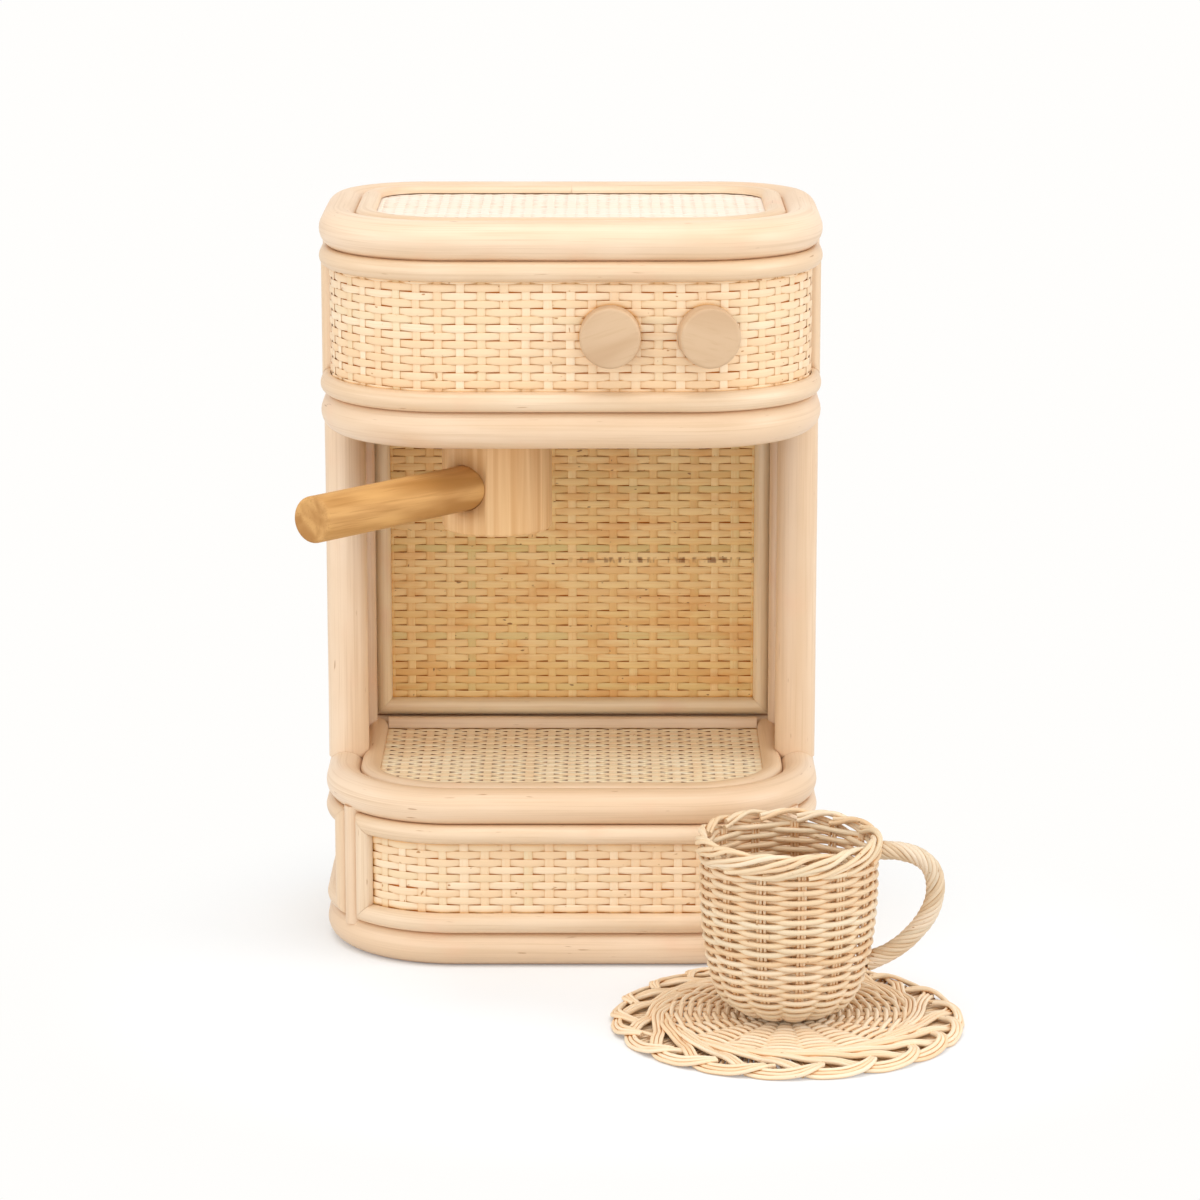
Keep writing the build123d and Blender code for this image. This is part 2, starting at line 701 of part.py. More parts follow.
post_screws, screw_bores = screws()
fixed = {
    "base_bottom_hoop": [bottom_hoop],
    "base_top_hoop": [base_hoop],
    "head_bottom_hoop": [head_hoop],
    "head_top_hoop": [crown_hoop],
    "left_front_post": [left_post],
    "right_front_post": [right_post],
    "rear_posts": rear_posts,
}
for name, solids in fixed.items():
    cut = []
    for solid in solids:
        for tool in (*post_screws, *screw_bores):
            solid = solid - tool
        cut.append(solid)
    add(name, *cut)
add("post_screws", *post_screws)

os.makedirs("parts", exist_ok=True)
for name, solids in parts.items():
    export_step(Compound(children=solids), f"parts/{name}.step")
print(len(parts), "nodes,", sum(len(s) for s in parts.values()), "solids")
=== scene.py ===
import json
import math
import bpy
import numpy as np
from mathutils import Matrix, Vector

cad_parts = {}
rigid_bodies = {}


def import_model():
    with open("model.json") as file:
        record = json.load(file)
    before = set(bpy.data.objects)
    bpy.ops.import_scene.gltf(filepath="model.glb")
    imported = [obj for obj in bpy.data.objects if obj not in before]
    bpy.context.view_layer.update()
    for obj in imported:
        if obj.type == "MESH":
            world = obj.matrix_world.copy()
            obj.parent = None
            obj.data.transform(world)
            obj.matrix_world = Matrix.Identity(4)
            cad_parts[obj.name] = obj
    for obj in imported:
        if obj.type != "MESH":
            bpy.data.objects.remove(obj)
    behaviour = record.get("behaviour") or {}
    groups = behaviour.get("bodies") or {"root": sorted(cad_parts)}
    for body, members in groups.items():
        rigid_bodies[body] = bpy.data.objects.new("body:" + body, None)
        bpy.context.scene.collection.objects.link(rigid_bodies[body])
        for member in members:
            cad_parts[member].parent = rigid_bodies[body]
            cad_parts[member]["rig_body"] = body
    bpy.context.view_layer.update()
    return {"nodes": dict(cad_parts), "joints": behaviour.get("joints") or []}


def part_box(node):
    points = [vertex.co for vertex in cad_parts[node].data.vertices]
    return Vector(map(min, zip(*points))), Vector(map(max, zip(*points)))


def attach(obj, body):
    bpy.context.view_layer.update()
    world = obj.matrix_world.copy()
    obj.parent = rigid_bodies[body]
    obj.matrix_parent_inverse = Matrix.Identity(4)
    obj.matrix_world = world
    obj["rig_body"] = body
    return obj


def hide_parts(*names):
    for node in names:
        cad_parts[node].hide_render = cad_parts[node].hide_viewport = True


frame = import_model()

# Lengths below are millimetres unless a name says otherwise; meshes are written in metres.
MM = 0.001

# ---- plan of the machine ----
FRONT_RADIUS = 67.0
BASE_BACK_RADIUS = 36.0
HEAD_BACK_RADIUS = 50.0
COLUMN_BACK_RADIUS = 40.0
SHEET_INSET = 4.8
SHEET_T = 1.6
TRIM_W = 10.0
TRIM_PROUD = 5.0
INNER_TRIM_W = 9.0
BATTEN_D = 10.0
BATTEN_SINK = 0.4
# how far round its corner of the base a batten stands, as a share
BASE_BATTEN_SHARE = 0.62
BACK_BATTEN_SHARE = 0.5
TOUCH = 0.1
SEAM = 0.12

# ---- weave ----
WARP_PITCH = 10.7
WEFT_PITCH = 3.95
WARP_W = 4.3
WEFT_W = 3.86
CANE_T = 0.50
WEFT_LIFT = 0.40
WARP_LIFT = 0.08
WEFT_PINCH = 0.045
WEFT_STRAY = 0.17
WARP_STRAY = 0.21
# thickness of the sheet of painted shade behind a weave
SHADE_SHEET_T = 0.25


def node_box(node):
    """Lowest and highest corner of a node, in millimetres."""
    low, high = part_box(node)
    return np.array(low) / MM, np.array(high) / MM


def hoop_line(node):
    """Height of a hoop's middle line, and the radius of its pole."""
    low, high = node_box(node)
    return (high[2] + low[2]) / 2, (high[2] - low[2]) / 2


hoop_low, hoop_high = node_box("head_top_hoop")
WIDTH, DEPTH = (hoop_high - hoop_low)[:2]
HEAD_TOP_Z, HEAD_POLE_R = hoop_line("head_top_hoop")
HEAD_BOTTOM_Z = hoop_line("head_bottom_hoop")[0]
BASE_TOP_Z, BASE_POLE_R = hoop_line("base_top_hoop")
BASE_BOTTOM_Z = node_box("base_bottom_hoop")[1][2] - BASE_POLE_R


# ======================= points and paths =======================

def xyz(*parts):
    """Arrays of x, y and z, of any shapes that fit together, as points."""
    return np.stack(np.broadcast_arrays(*parts), axis=-1)


def around(x, y, r, angle, z):
    """Points at the distance r, and at an angle, round the upright line through x and y."""
    return xyz(x + r * np.cos(angle), y + r * np.sin(angle), z)


def ways(path):
    """The direction of a path at each of its points."""
    way = np.gradient(path, axis=0)
    return way / np.linalg.norm(way, axis=1, keepdims=True)


def right_of(way):
    """Directions in a plane, each turned a quarter to the right."""
    return np.stack([way[:, 1], -way[:, 0]], axis=-1)


def run_of(path):
    """The distance along a path at each of its points."""
    return np.concatenate([[0], np.cumsum(np.linalg.norm(np.diff(path, axis=0), axis=1))])


def read_at(at, run, values):
    """Each column of values, which are known at the distances run, read at other distances."""
    return [np.interp(at, run, column) for column in values.T]


def smoothed(values, reach):
    """Each value as the mean of its neighbours up to reach places away."""
    share = np.ones(2 * reach + 1) / (2 * reach + 1)
    return np.convolve(np.pad(values, reach, mode="edge"), share, mode="valid")


def wobble(x, rng, wavelength, size=1.0):
    """A smooth random wave of x, between minus and plus size."""
    waves = [np.sin(x * 2 * math.pi / (wavelength * share) + rng.uniform(0, 2 * math.pi))
             for share in (1.0, 0.61, 0.37)]
    return sum(waves) * size / 3


def over_under(beat, hardness):
    """A wave between -1 and 1 with flattened ends, the way of a strand over and under others."""
    return np.tanh(hardness * beat) / math.tanh(hardness)


def curve_through(points, count):
    """Evenly spaced points on a smooth curve through a few given ones, and the distances along it."""
    p = np.array(points, float)
    padded = np.vstack([2 * p[0] - p[1], p, 2 * p[-1] - p[-2]])
    t = np.linspace(0, 1, 40, endpoint=False)[:, None]
    spans = []
    for a, b, c, d in zip(padded, padded[1:], padded[2:], padded[3:]):
        spans.append(0.5 * (2 * b + (c - a) * t + (2 * a - 5 * b + 4 * c - d) * t ** 2
                            + (3 * b - a - 3 * c + d) * t ** 3))
    dense = np.vstack(spans + [p[-1:]])
    run = run_of(dense)
    at = np.linspace(0, run[-1], count)
    return np.stack(read_at(at, run, dense), axis=-1), at


class Loop:
    """The machine's rounded plan at a distance inside its envelope, walked from the middle of the front."""

    def __init__(self, inset, back_radius):
        self.hx, self.hy = WIDTH / 2 - inset, DEPTH / 2 - inset
        self.rf, self.rb = FRONT_RADIUS - inset, back_radius - inset
        hx, hy, rf, rb = self.hx, self.hy, self.rf, self.rb
        runs = [(hx - rf, 0), (rf, 1), (2 * hy - rf - rb, 0), (rb, 1), (2 * (hx - rb), 0),
                (rb, 1), (2 * hy - rf - rb, 0), (rf, 1), (hx - rf, 0)]
        self.starts, self.lengths, self.radii, self.headings, self.origins = [], [], [], [], []
        here, heading, point = 0.0, 0.0, np.array([0.0, -hy])
        for size, bends in runs:
            length = size * math.pi / 2 if bends else size
            self.starts.append(here)
            self.lengths.append(length)
            self.radii.append(size if bends else 0.0)
            self.headings.append(heading)
            self.origins.append(point)
            way = np.array([math.cos(heading), math.sin(heading)])
            side = np.array([-way[1], way[0]])
            point = point + (way + side) * size if bends else point + way * size
            heading += math.pi / 2 if bends else 0.0
            here += length
        self.total = here

    def at(self, s):
        """x, y and outward normal of every distance along the loop."""
        s = np.mod(s, self.total)
        i = np.searchsorted(self.starts, s, side="right") - 1
        run = s - np.take(self.starts, i)
        radius, head = np.take(self.radii, i), np.take(self.headings, i)
        origin = np.array(self.origins)[i]
        bends = radius > 0
        turn = head + np.where(bends, run / np.where(bends, radius, 1), 0)
        x = np.where(bends, radius * (np.sin(turn) - np.sin(head)), run * np.cos(head)) + origin[..., 0]
        y = np.where(bends, radius * (np.cos(head) - np.cos(turn)), run * np.sin(head)) + origin[..., 1]
        return x, y, np.sin(turn), -np.cos(turn)

    def place(self, piece, share):
        """Distance along the loop of a share of its numbered straight or corner."""
        return self.starts[piece] + self.lengths[piece] * share

    def side(self, y, right=True):
        """Distance along the loop to this y on a straight side."""
        run = y + self.hy - self.rf
        return self.starts[2] + run if right else self.starts[7] - run


def wall_map(loop):
    """Distance along a wall, height, and distance out of the wall, to a point."""
    def to_point(u, v, h):
        x, y, nx, ny = loop.at(u)
        return xyz(x + h * nx, y + h * ny, v)
    return to_point


def level_map(z):
    """x, y and height over a level plane, to a point."""
    return lambda u, v, h: xyz(u, v, z + h)


def facing_map(y):
    """x, z and distance towards the front, off a plane that faces it, to a point."""
    return lambda u, v, h: xyz(u, y - h, v)


# ======================= mesh building =======================

# the tone that marks the sheet of painted shade behind a weave, which no strand has
SHADE_SHEET_TONE = (0.5, 0.5, -1.0)
SHARP_ANGLE = math.radians(50)
CANE_SECTION = np.array([(-1, 0), (-0.88, 0.62), (-0.4, 0.95), (0.4, 0.95), (0.88, 0.62), (1, 0),
                         (0.7, -0.9), (-0.7, -0.9)]).T / 2


class Bundle:
    """Many closed strands that become one mesh, with grain and tone for the shaders."""

    def __init__(self, seed):
        self.rng = np.random.default_rng(seed)
        self.points, self.grain, self.tone, self.faces = [], [], [], []
        self.count = 0

    def add(self, grid, grain, closed=False, tone=None):
        """grid is (rings, points of a ring, 3); grain gives each point its place in straight stock."""
        rings, m = grid.shape[:2]
        index = np.arange(rings * m).reshape(rings, m)
        after = np.roll(index, -1, axis=1)
        corners = [index, after, np.roll(after, -1, axis=0), np.roll(index, -1, axis=0)]
        caps = []
        if not closed:
            corners = [corner[:-1] for corner in corners]
            caps = [index[0][::-1], index[-1]]
        quads = np.stack(corners, axis=-1).reshape(-1, 4)
        flat = grid.reshape(-1, 3)
        a, b, c, d = (flat[quads[:, k]] - flat.mean(axis=0) for k in range(4))
        volume = (a * (np.cross(b, c) + np.cross(c, d))).sum()
        if volume < 0:
            quads = quads[:, ::-1]
            caps = [cap[::-1] for cap in caps]
        if tone is None:
            tone = self.rng.uniform(0, 1, 3)
        # each strand is cut from another place of the stock
        shift = self.rng.uniform(0, 3000)
        self.faces.append((quads + self.count, [cap + self.count for cap in caps]))
        self.points.append(flat)
        self.grain.append(grain.reshape(-1, 3) + shift * np.array([1.0, 0.7, 0.3]))
        self.tone.append(np.tile(tone, (rings * m, 1)))
        self.count += rings * m

    def mesh(self, name):
        loops, sizes = [], []
        for quads, caps in self.faces:
            loops += [quads.reshape(-1), *caps]
            sizes += [4] * len(quads) + [len(cap) for cap in caps]
        loops = np.concatenate(loops)
        mesh = bpy.data.meshes.new(name)
        mesh.vertices.add(self.count)
        mesh.vertices.foreach_set("co", flat_floats(self.points, MM))
        mesh.loops.add(len(loops))
        mesh.loops.foreach_set("vertex_index", loops.astype(np.int32))
        mesh.polygons.add(len(sizes))
        mesh.polygons.foreach_set("loop_start", (np.cumsum(sizes) - sizes).astype(np.int32))
        mesh.update(calc_edges=True)
        for label, data, scale in (("grain", self.grain, MM), ("tone", self.tone, 1.0)):
            layer = mesh.attributes.new(label, "FLOAT_VECTOR", "POINT")
            layer.data.foreach_set("vector", flat_floats(data, scale))
        mesh.shade_smooth()
        mesh.set_sharp_from_angle(angle=SHARP_ANGLE)
        return mesh


def flat_floats(parts, scale):
    """Many arrays joined, scaled and laid out flat, as Blender takes them."""
    return (np.concatenate(parts) * scale).astype(np.float32).reshape(-1)


def stand_for(bundle, name, material, *nodes):
    """Makes the bundle's mesh a piece that takes the place of CAD nodes and moves with them."""
    piece = bpy.data.objects.new(name, bundle.mesh(name))
    piece.data.materials.append(material)
    bpy.context.scene.collection.objects.link(piece)
    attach(piece, frame["nodes"][nodes[0]]["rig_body"])
    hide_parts(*nodes)
    return piece


def ring_section(radius, points):
    """A round pole's section: sideways and outward at each of its points."""
    t = np.linspace(0, 2 * math.pi, points, endpoint=False)
    return radius * np.cos(t), radius * np.sin(t)


def half_round_section(w, proud):
    """A half-round trim's section: sideways and outward at each of its points."""
    t = np.linspace(0, math.pi, 14)
    return w / 2 * np.cos(t), proud * np.sin(t) ** 0.9


# ======================= shaders =======================

# the Mix node has its sockets for colours at these places
MIX_FACTOR, MIX_A, MIX_B, MIX_RESULT = 0, 6, 7, 2


def srgb(colour):
    """A colour given as it shows on a screen, 0 to 255, as Blender's linear colour."""
    return tuple(c / 255 / 12.92 if c <= 10 else ((c / 255 + 0.055) / 1.055) ** 2.4 for c in colour) + (1.0,)


class Nodes:
    """A node tree, with short calls for the nodes that are used most."""

    def __init__(self, tree):
        self.tree = tree

    def feed(self, socket, value):
        """Links a socket to another node's output, or sets it to a constant."""
        if isinstance(value, bpy.types.NodeSocket):
            self.tree.links.new(value, socket)
        else:
            socket.default_value = value

    def node(self, kind, inputs, **settings):
        """Makes a node with inputs given by name or number, and returns its outputs."""
        made = self.tree.nodes.new(kind)
        for key, value in settings.items():
            setattr(made, key, value)
        for key, value in inputs.items():
            self.feed(made.inputs[key], value)
        return made.outputs

    def attribute(self, name):
        return self.node("ShaderNodeAttribute", {}, attribute_name=name)["Vector"]

    def position(self):
        return self.node("ShaderNodeTexCoord", {})["Object"]

    def parts_of(self, vector):
        return self.node("ShaderNodeSeparateXYZ", {"Vector": vector})

    def noise(self, vector, stretch, detail=3.0, distortion=0.0):
        """Noise of a vector in metres; stretch is how fast it changes along each axis."""
        spread = self.node("ShaderNodeMapping", {"Vector": vector, "Scale": stretch})["Vector"]
        inputs = {"Vector": spread, "Scale": 1.0, "Detail": detail, "Roughness": 0.55,
                  "Distortion": distortion}
        return self.node("ShaderNodeTexNoise", inputs)["Fac"]

    def ramp(self, value, low, high, out_low=0.0, out_high=1.0):
        """Goes smoothly from out_low to out_high while value goes from low to high."""
        inputs = {"Value": value, "From Min": low, "From Max": high, "To Min": out_low, "To Max": out_high}
        return self.node("ShaderNodeMapRange", inputs, interpolation_type="SMOOTHSTEP")["Result"]

    def math(self, operation, a, b, clamp=False):
        return self.node("ShaderNodeMath", {0: a, 1: b}, operation=operation, use_clamp=clamp)["Value"]

    def mix(self, factor, a, b, blend="MIX"):
        inputs = {MIX_FACTOR: factor, MIX_A: a, MIX_B: b}
        return self.node("ShaderNodeMix", inputs, data_type="RGBA", blend_type=blend)[MIX_RESULT]

    def stain(self, body, value, low, high, most, colour):
        """The body colour, which goes over to another, by most at the most, while value goes up."""
        return self.mix(self.ramp(value, low, high, 0.0, most), body, colour)

    def glow(self, kind, colour, strength):
        return self.node(kind, {"Color": colour, "Strength": strength})[0]

    def mix_shaders(self, factor, a, b):
        return self.node("ShaderNodeMixShader", {0: factor, 1: a, 2: b})[0]

    def visible_rays(self):
        """One where a ray comes from the camera or a mirror image, zero where it carries light."""
        path = self.node("ShaderNodeLightPath", {})
        direct = self.math("ADD", path["Is Camera Ray"], path["Is Glossy Ray"])
        return self.math("ADD", direct, path["Is Transmission Ray"], clamp=True)


class Shader(Nodes):
    """The nodes of a new material."""

    def __init__(self, name, roughness, specular):
        self.material = bpy.data.materials.new(name)
        self.material.use_nodes = True
        super().__init__(self.material.node_tree)
        self.surface = self.tree.nodes["Principled BSDF"]
        self.set("Roughness", roughness)
        self.set("Specular IOR Level", specular)

    def set(self, name, value):
        self.feed(self.surface.inputs[name], value)

    def bump(self, height, strength, distance):
        inputs = {"Height": height, "Strength": strength, "Distance": distance}
        self.set("Normal", self.node("ShaderNodeBump", inputs)["Normal"])

    def painted_crevice_shade(self, body, reach, crevice, tint):
        """Painted shade: the body colour, multiplied by tint where other surfaces close in within reach, in
        metres.

        crevice is how open a place is where that is complete, and where it begins."""
        open_share = self.node("ShaderNodeAmbientOcclusion", {"Distance": reach}, samples=4)["AO"]
        return self.mix(self.ramp(open_share, *crevice), self.mix(1.0, body, tint, "MULTIPLY"), body)

    def colour(self, value):
        self.set("Base Color", value)
        return self.material


# ======================= materials =======================

BLUSH = srgb((230, 184, 148))
# painted shade in crevices: for each, how open a place is where it is complete and where it begins, and the
# tint that darkens and warms the colour there
POLE_CREVICE = (0.04, 0.45)
POLE_SHADE = (0.74, 0.52, 0.36, 1.0)
FLAT_CREVICE = (0.45, 0.92)
ROUND_CREVICE = (0.15, 0.68)
CANE_SHADE = (0.90, 0.60, 0.26, 1.0)
CANE_SPECULAR = 0.38
# a row of small scars in the inner back panel, in metres: its height, how far from it the scars fade,
# and the distances to the right of the middle between which they grow stronger
SCAR_Z = 0.174
SCAR_FADE = (0.0011, 0.0019)
SCAR_START = (-0.016, 0.03)


def rattan_material(name, *colours):
    """Peeled rattan pole: long fine vessels, broad tone bands and a few darker flecks, with painted shade in
    its crevices.
    """
    pale, warm, streak, fleck = map(srgb, colours)
    s = Shader(name, 0.42, 0.8)
    grain = s.attribute("grain")
    own_tone = s.math("MULTIPLY", s.parts_of(s.attribute("tone"))[0], 0.12)
    fine = s.noise(grain, (16, 1500, 1500), 2.0)
    lines = s.noise(grain, (7, 520, 520))
    patches = s.math("ADD", s.noise(grain, (9, 20, 20)), own_tone)
    body = s.mix(s.ramp(patches, 0.40, 0.70), pale, warm)
    body = s.stain(body, s.noise(grain, (6, 70, 70), 2.0), 0.46, 0.72, 0.40, streak)
    body = s.stain(body, lines, 0.50, 0.70, 0.42, streak)
    body = s.stain(body, fine, 0.52, 0.74, 0.5, streak)
    body = s.stain(body, s.noise(grain, (26, 30, 30), 2.0), 0.56, 0.78, 0.5, BLUSH)
    body = s.stain(body, s.noise(grain, (70, 600, 600), 1.0), 0.74, 0.80, 0.75, fleck)
    s.bump(s.math("ADD", lines, fine), 0.25, 0.00012)
    # painted shade: the colour darkens and warms in crevices and in the seams between poles
    return s.colour(s.painted_crevice_shade(body, 0.003, POLE_CREVICE, POLE_SHADE))


def scars(s):
    """How strong the row of scars is at each place."""
    place = s.parts_of(s.position())
    off = s.math("ABSOLUTE", s.math("SUBTRACT", place[2], SCAR_Z), 0.0)
    broken = s.ramp(s.noise(s.position(), (330, 1, 90), 1.0), 0.48, 0.64)
    in_row = s.math("MULTIPLY", broken, s.ramp(off, *SCAR_FADE, 0.75, 0.0))
    return s.math("MULTIPLY", in_row, s.ramp(place[0], *SCAR_START))


def cane_material(name, *colours, dark=(0, 0, 0), crevice=FLAT_CREVICE, own=0.75, patchy=0.0, scarred=False):
    """Split cane strips: each strip has its own tone, with thin fibres along it. dark is painted shade: the
    colour of a sheet behind the strips, which shows in their gaps.

    own is how far a strip may differ from its neighbours, and patchy how strong the stains are that run
    over many strips."""
    pale, yellow, grey, orange, fleck, dark = map(srgb, (*colours, dark))
    s = Shader(name, 0.45, CANE_SPECULAR)
    grain = s.attribute("grain")
    tone = s.parts_of(s.attribute("tone"))
    fibres = s.noise(grain, (14, 1300, 1300), 2.0)
    body = s.mix(s.ramp(tone[0], 0.1, 0.9), pale, yellow)
    body = s.stain(body, tone[1], 0.62, 1.0, own, orange)
    body = s.stain(body, tone[2], 0.74, 1.0, 0.7, grey)
    if patchy:
        body = s.stain(body, s.noise(s.position(), (26, 40, 70)), 0.50, 0.66, patchy, orange)
    body = s.stain(body, s.noise(grain, (12, 90, 90), 2.0), 0.42, 0.75, 0.45, orange)
    body = s.stain(body, fibres, 0.50, 0.75, 0.35, orange)
    body = s.stain(body, s.noise(grain, (230, 460, 460), 1.0), 0.735, 0.79, 0.85, fleck)
    if scarred:
        body = s.mix(scars(s), body, fleck)
    # painted shade: the sheet behind the weave takes the colour dark, which stands for the shade in the gaps,
    # and has no specular
    body = s.mix(s.math("LESS_THAN", tone[2], -0.5), body, dark)
    s.set("Specular IOR Level", s.ramp(tone[2], -0.6, -0.4, 0.0, CANE_SPECULAR))
    s.bump(fibres, 0.3, 0.0001)
    # painted shade: the colour darkens and warms where strips close in on each other
    return s.colour(s.painted_crevice_shade(body, 0.0025, crevice, CANE_SHADE))


def wood_material(name, pale, dark, ring_scale, streak_scale, roughness, axis_scale=4.0, use_grain=True):
    """Planed or turned wood: long streaks and wide growth bands."""
    pale, dark = srgb(pale), srgb(dark)
    s = Shader(name, roughness, 0.35)
    grain = s.attribute("grain") if use_grain else s.position()
    rings = s.noise(grain, (axis_scale, ring_scale, ring_scale), 2.0, 0.6)
    streaks = s.noise(grain, (axis_scale * 3, streak_scale, streak_scale))
    body = s.mix(s.ramp(rings, 0.35, 0.68), pale, dark)
    s.bump(streaks, 0.2, 0.0001)
    return s.colour(s.stain(body, streaks, 0.48, 0.74, 0.55, dark))


# pale, warm, streak and fleck
POLE = rattan_material("rattan_pole", (235, 208, 178), (227, 195, 160), (210, 175, 136), (170, 122, 80))
TRIM = rattan_material("rattan_trim", (232, 205, 173), (225, 194, 158), (209, 174, 134), (178, 132, 86))
# painted light: a paler, yellower copy of the trim for the back of the bay, which makes up for the shade and
# the warm light there
INNER_TRIM = rattan_material("rattan_inner_trim", (244, 223, 186), (238, 212, 170), (218, 184, 138),
                             (184, 138, 92))
# pale, yellow, grey, orange and fleck; dark is the painted shade that shows in the gaps
CANE = cane_material("cane_pale", (244, 220, 187), (239, 208, 169), (231, 211, 171), (235, 196, 150),
                     (178, 122, 66), dark=(206, 138, 82), own=0.5)
# painted light: a paler copy of the cane for the top, where the light falls strongest, with pale gaps and
# almost no painted shade
CANE_TOP = cane_material("cane_top", (246, 230, 215), (245, 227, 209), (242, 225, 204), (243, 222, 198),
                         (232, 206, 168), dark=(240, 210, 174), crevice=(0.0, 0.12))
# painted light: a brighter copy of the cane for the platform, which makes up for the shade the head casts on
# it; its gaps carry darker painted shade
CANE_LIT_PLATFORM = cane_material("cane_lit_platform", (255, 244, 216), (255, 238, 204), (250, 230, 192), (248, 212, 166),
                           (178, 118, 66), dark=(158, 90, 40), crevice=(0.3, 0.8), own=0.5)
# a deeper, more orange copy of the cane for the back of the bay: partly the panel's own tone, partly painted
# shade of the recess
CANE_OCHRE_AND_SHADE = cane_material("cane_ochre_and_shade", (248, 217, 158), (242, 207, 141), (214, 196, 130), (228, 168, 96),
                          (128, 74, 34), dark=(184, 114, 54), crevice=(0.4, 0.88), own=0.3, patchy=0.5,
                          scarred=True)
WICKER = cane_material("wicker", (236, 216, 187), (232, 206, 170), (227, 209, 178), (225, 190, 148),
                       (176, 128, 80), crevice=ROUND_CREVICE)
ROPE_WICKER = cane_material("wicker_rope", (229, 210, 186), (222, 200, 170), (213, 197, 172),
                            (207, 179, 144), (166, 118, 72), crevice=ROUND_CREVICE)
SAUCER_WICKER = cane_material("saucer_wicker", (246, 227, 199), (243, 218, 184), (238, 218, 187),
                              (236, 204, 163), (186, 138, 90), crevice=ROUND_CREVICE)
PINE = wood_material("pine", (232, 202, 158), (214, 176, 126), 40, 380, 0.6, use_grain=False)
KNOB_WOOD = wood_material("knob_wood", (207, 175, 140), (196, 161, 125), 60, 620, 0.5, 9.0)
BLOCK_WOOD = wood_material("block_wood", (233, 192, 140), (213, 163, 107), 190, 900, 0.5)
HANDLE_WOOD = wood_material("handle_wood", (212, 162, 98), (172, 120, 60), 70, 1100, 0.55, 9.0)


# ======================= poles =======================

# how much thinner than its full size a pole may be, as a share
HOOP_SWELL = 0.006
POST_SWELL = 0.005


def hoop(node, back_radius, pole_r, z, seed, flat_z=-math.inf):
    """A bent pole all round the machine, planed off below flat_z."""
    bundle = Bundle(seed)
    loop = Loop(pole_r, back_radius)
    s = np.linspace(-loop.total / 2, loop.total / 2, 420, endpoint=False)[:, None]
    x, y, nx, ny = loop.at(s)
    waves = 2 * math.pi * np.arange(1, 9) / loop.total
    swell = sum(np.sin(w * s + bundle.rng.uniform(0, 6.28)) for w in waves) / len(waves)
    scale = 1 - HOOP_SWELL * (1 + swell)
    out, up = (scale * side for side in ring_section(pole_r, 30))
    bundle.add(xyz(x + out * nx, y + out * ny, np.maximum(z + up, flat_z)), xyz(s, out, up), closed=True)
    stand_for(bundle, f"{node}_pole", POLE, node)


def coped_pole(bundle, x, y, radius, low_rail, high_rail, low_z, high_z, side, points):
    """One upright pole; the rails are (centre height, radius) of the hoops along its side."""
    out_x, out_y = ring_section(radius, points)

    def cope(rail_z, rail_r, limit, up):
        offset = np.abs(x + out_x - side * (WIDTH / 2 - rail_r))
        z = rail_z + up * np.sqrt(np.maximum(rail_r ** 2 - offset ** 2, 0))
        return np.maximum(z, limit) if up > 0 else np.minimum(z, limit)

    bottom = cope(*low_rail, low_z, 1)
    top = cope(*high_rail, high_z, -1)
    t = np.linspace(0, 1, 40)[:, None]
    z = bottom + (top - bottom) * t
    swell = 1 - POST_SWELL * (1 + wobble(t * (high_z - low_z), bundle.rng, 90))
    out_x, out_y = out_x * swell, out_y * swell
    bundle.add(xyz(x + out_x, y + out_y, z), xyz(z, out_x, out_y))


def front_post(node, side, seed):
    """One thick post, on the left (side -1) or on the right (1)."""
    low, high = node_box(node)
    x, y, _ = (low + high) / 2
    bundle = Bundle(seed)
    coped_pole(bundle, x, y, (high[0] - low[0]) / 2, base_rail, head_rail, low[2], high[2], side, 32)
    stand_for(bundle, f"{node}_pole", POLE, node)


def pole_pair(node, seed, low_rail, high_rail):
    """The two thinner poles of a node, one on each side."""
    low, high = node_box(node)
    radius = (high[1] - low[1]) / 2
    bundle = Bundle(seed)
    for side in (-1, 1):
        x, y = side * (high[0] - radius), (low[1] + high[1]) / 2
        coped_pole(bundle, x, y, radius, low_rail, high_rail, low[2], high[2], side, 20)
    stand_for(bundle, f"{node}_pole", POLE, node)


def base_corner_battens():
    """Short poles behind the base's corners, where its woven sheets meet."""
    bundle = Bundle(25)
    out_x, out_y = ring_section(BATTEN_D / 2, 20)
    inside_pole = BASE_POLE_R * 0.6
    z = np.linspace(BASE_BOTTOM_Z + inside_pole, BASE_TOP_Z - inside_pole, 12)[:, None]
    for spot in batten_spots:
        x, y, nx, ny = base_sheet.at(spot)
        x, y = x - nx * BATTEN_SINK, y - ny * BATTEN_SINK
        bundle.add(xyz(x + out_x, y + out_y, z), xyz(z, out_y, out_x))
    stand_for(bundle, "base_corner_battens_pole", POLE, "base_corner_battens")


base_sheet = Loop(SHEET_INSET, BASE_BACK_RADIUS)
head_sheet = Loop(SHEET_INSET, HEAD_BACK_RADIUS)
column_sheet = Loop(SHEET_INSET, COLUMN_BACK_RADIUS)
# front right, back right, back left and front left; 1, 3, 5 and 7 are the loop's corners
batten_spots = [base_sheet.place(1, BASE_BATTEN_SHARE), base_sheet.place(3, BACK_BATTEN_SHARE),
                base_sheet.place(5, 1 - BACK_BATTEN_SHARE), base_sheet.place(7, 1 - BASE_BATTEN_SHARE)]

hoop("base_bottom_hoop", BASE_BACK_RADIUS, BASE_POLE_R, BASE_BOTTOM_Z, 11, flat_z=0.0)
hoop("base_top_hoop", BASE_BACK_RADIUS, BASE_POLE_R, BASE_TOP_Z, 12)
hoop("head_bottom_hoop", HEAD_BACK_RADIUS, HEAD_POLE_R, HEAD_BOTTOM_Z, 13)
hoop("head_top_hoop", HEAD_BACK_RADIUS, HEAD_POLE_R, HEAD_TOP_Z, 14)

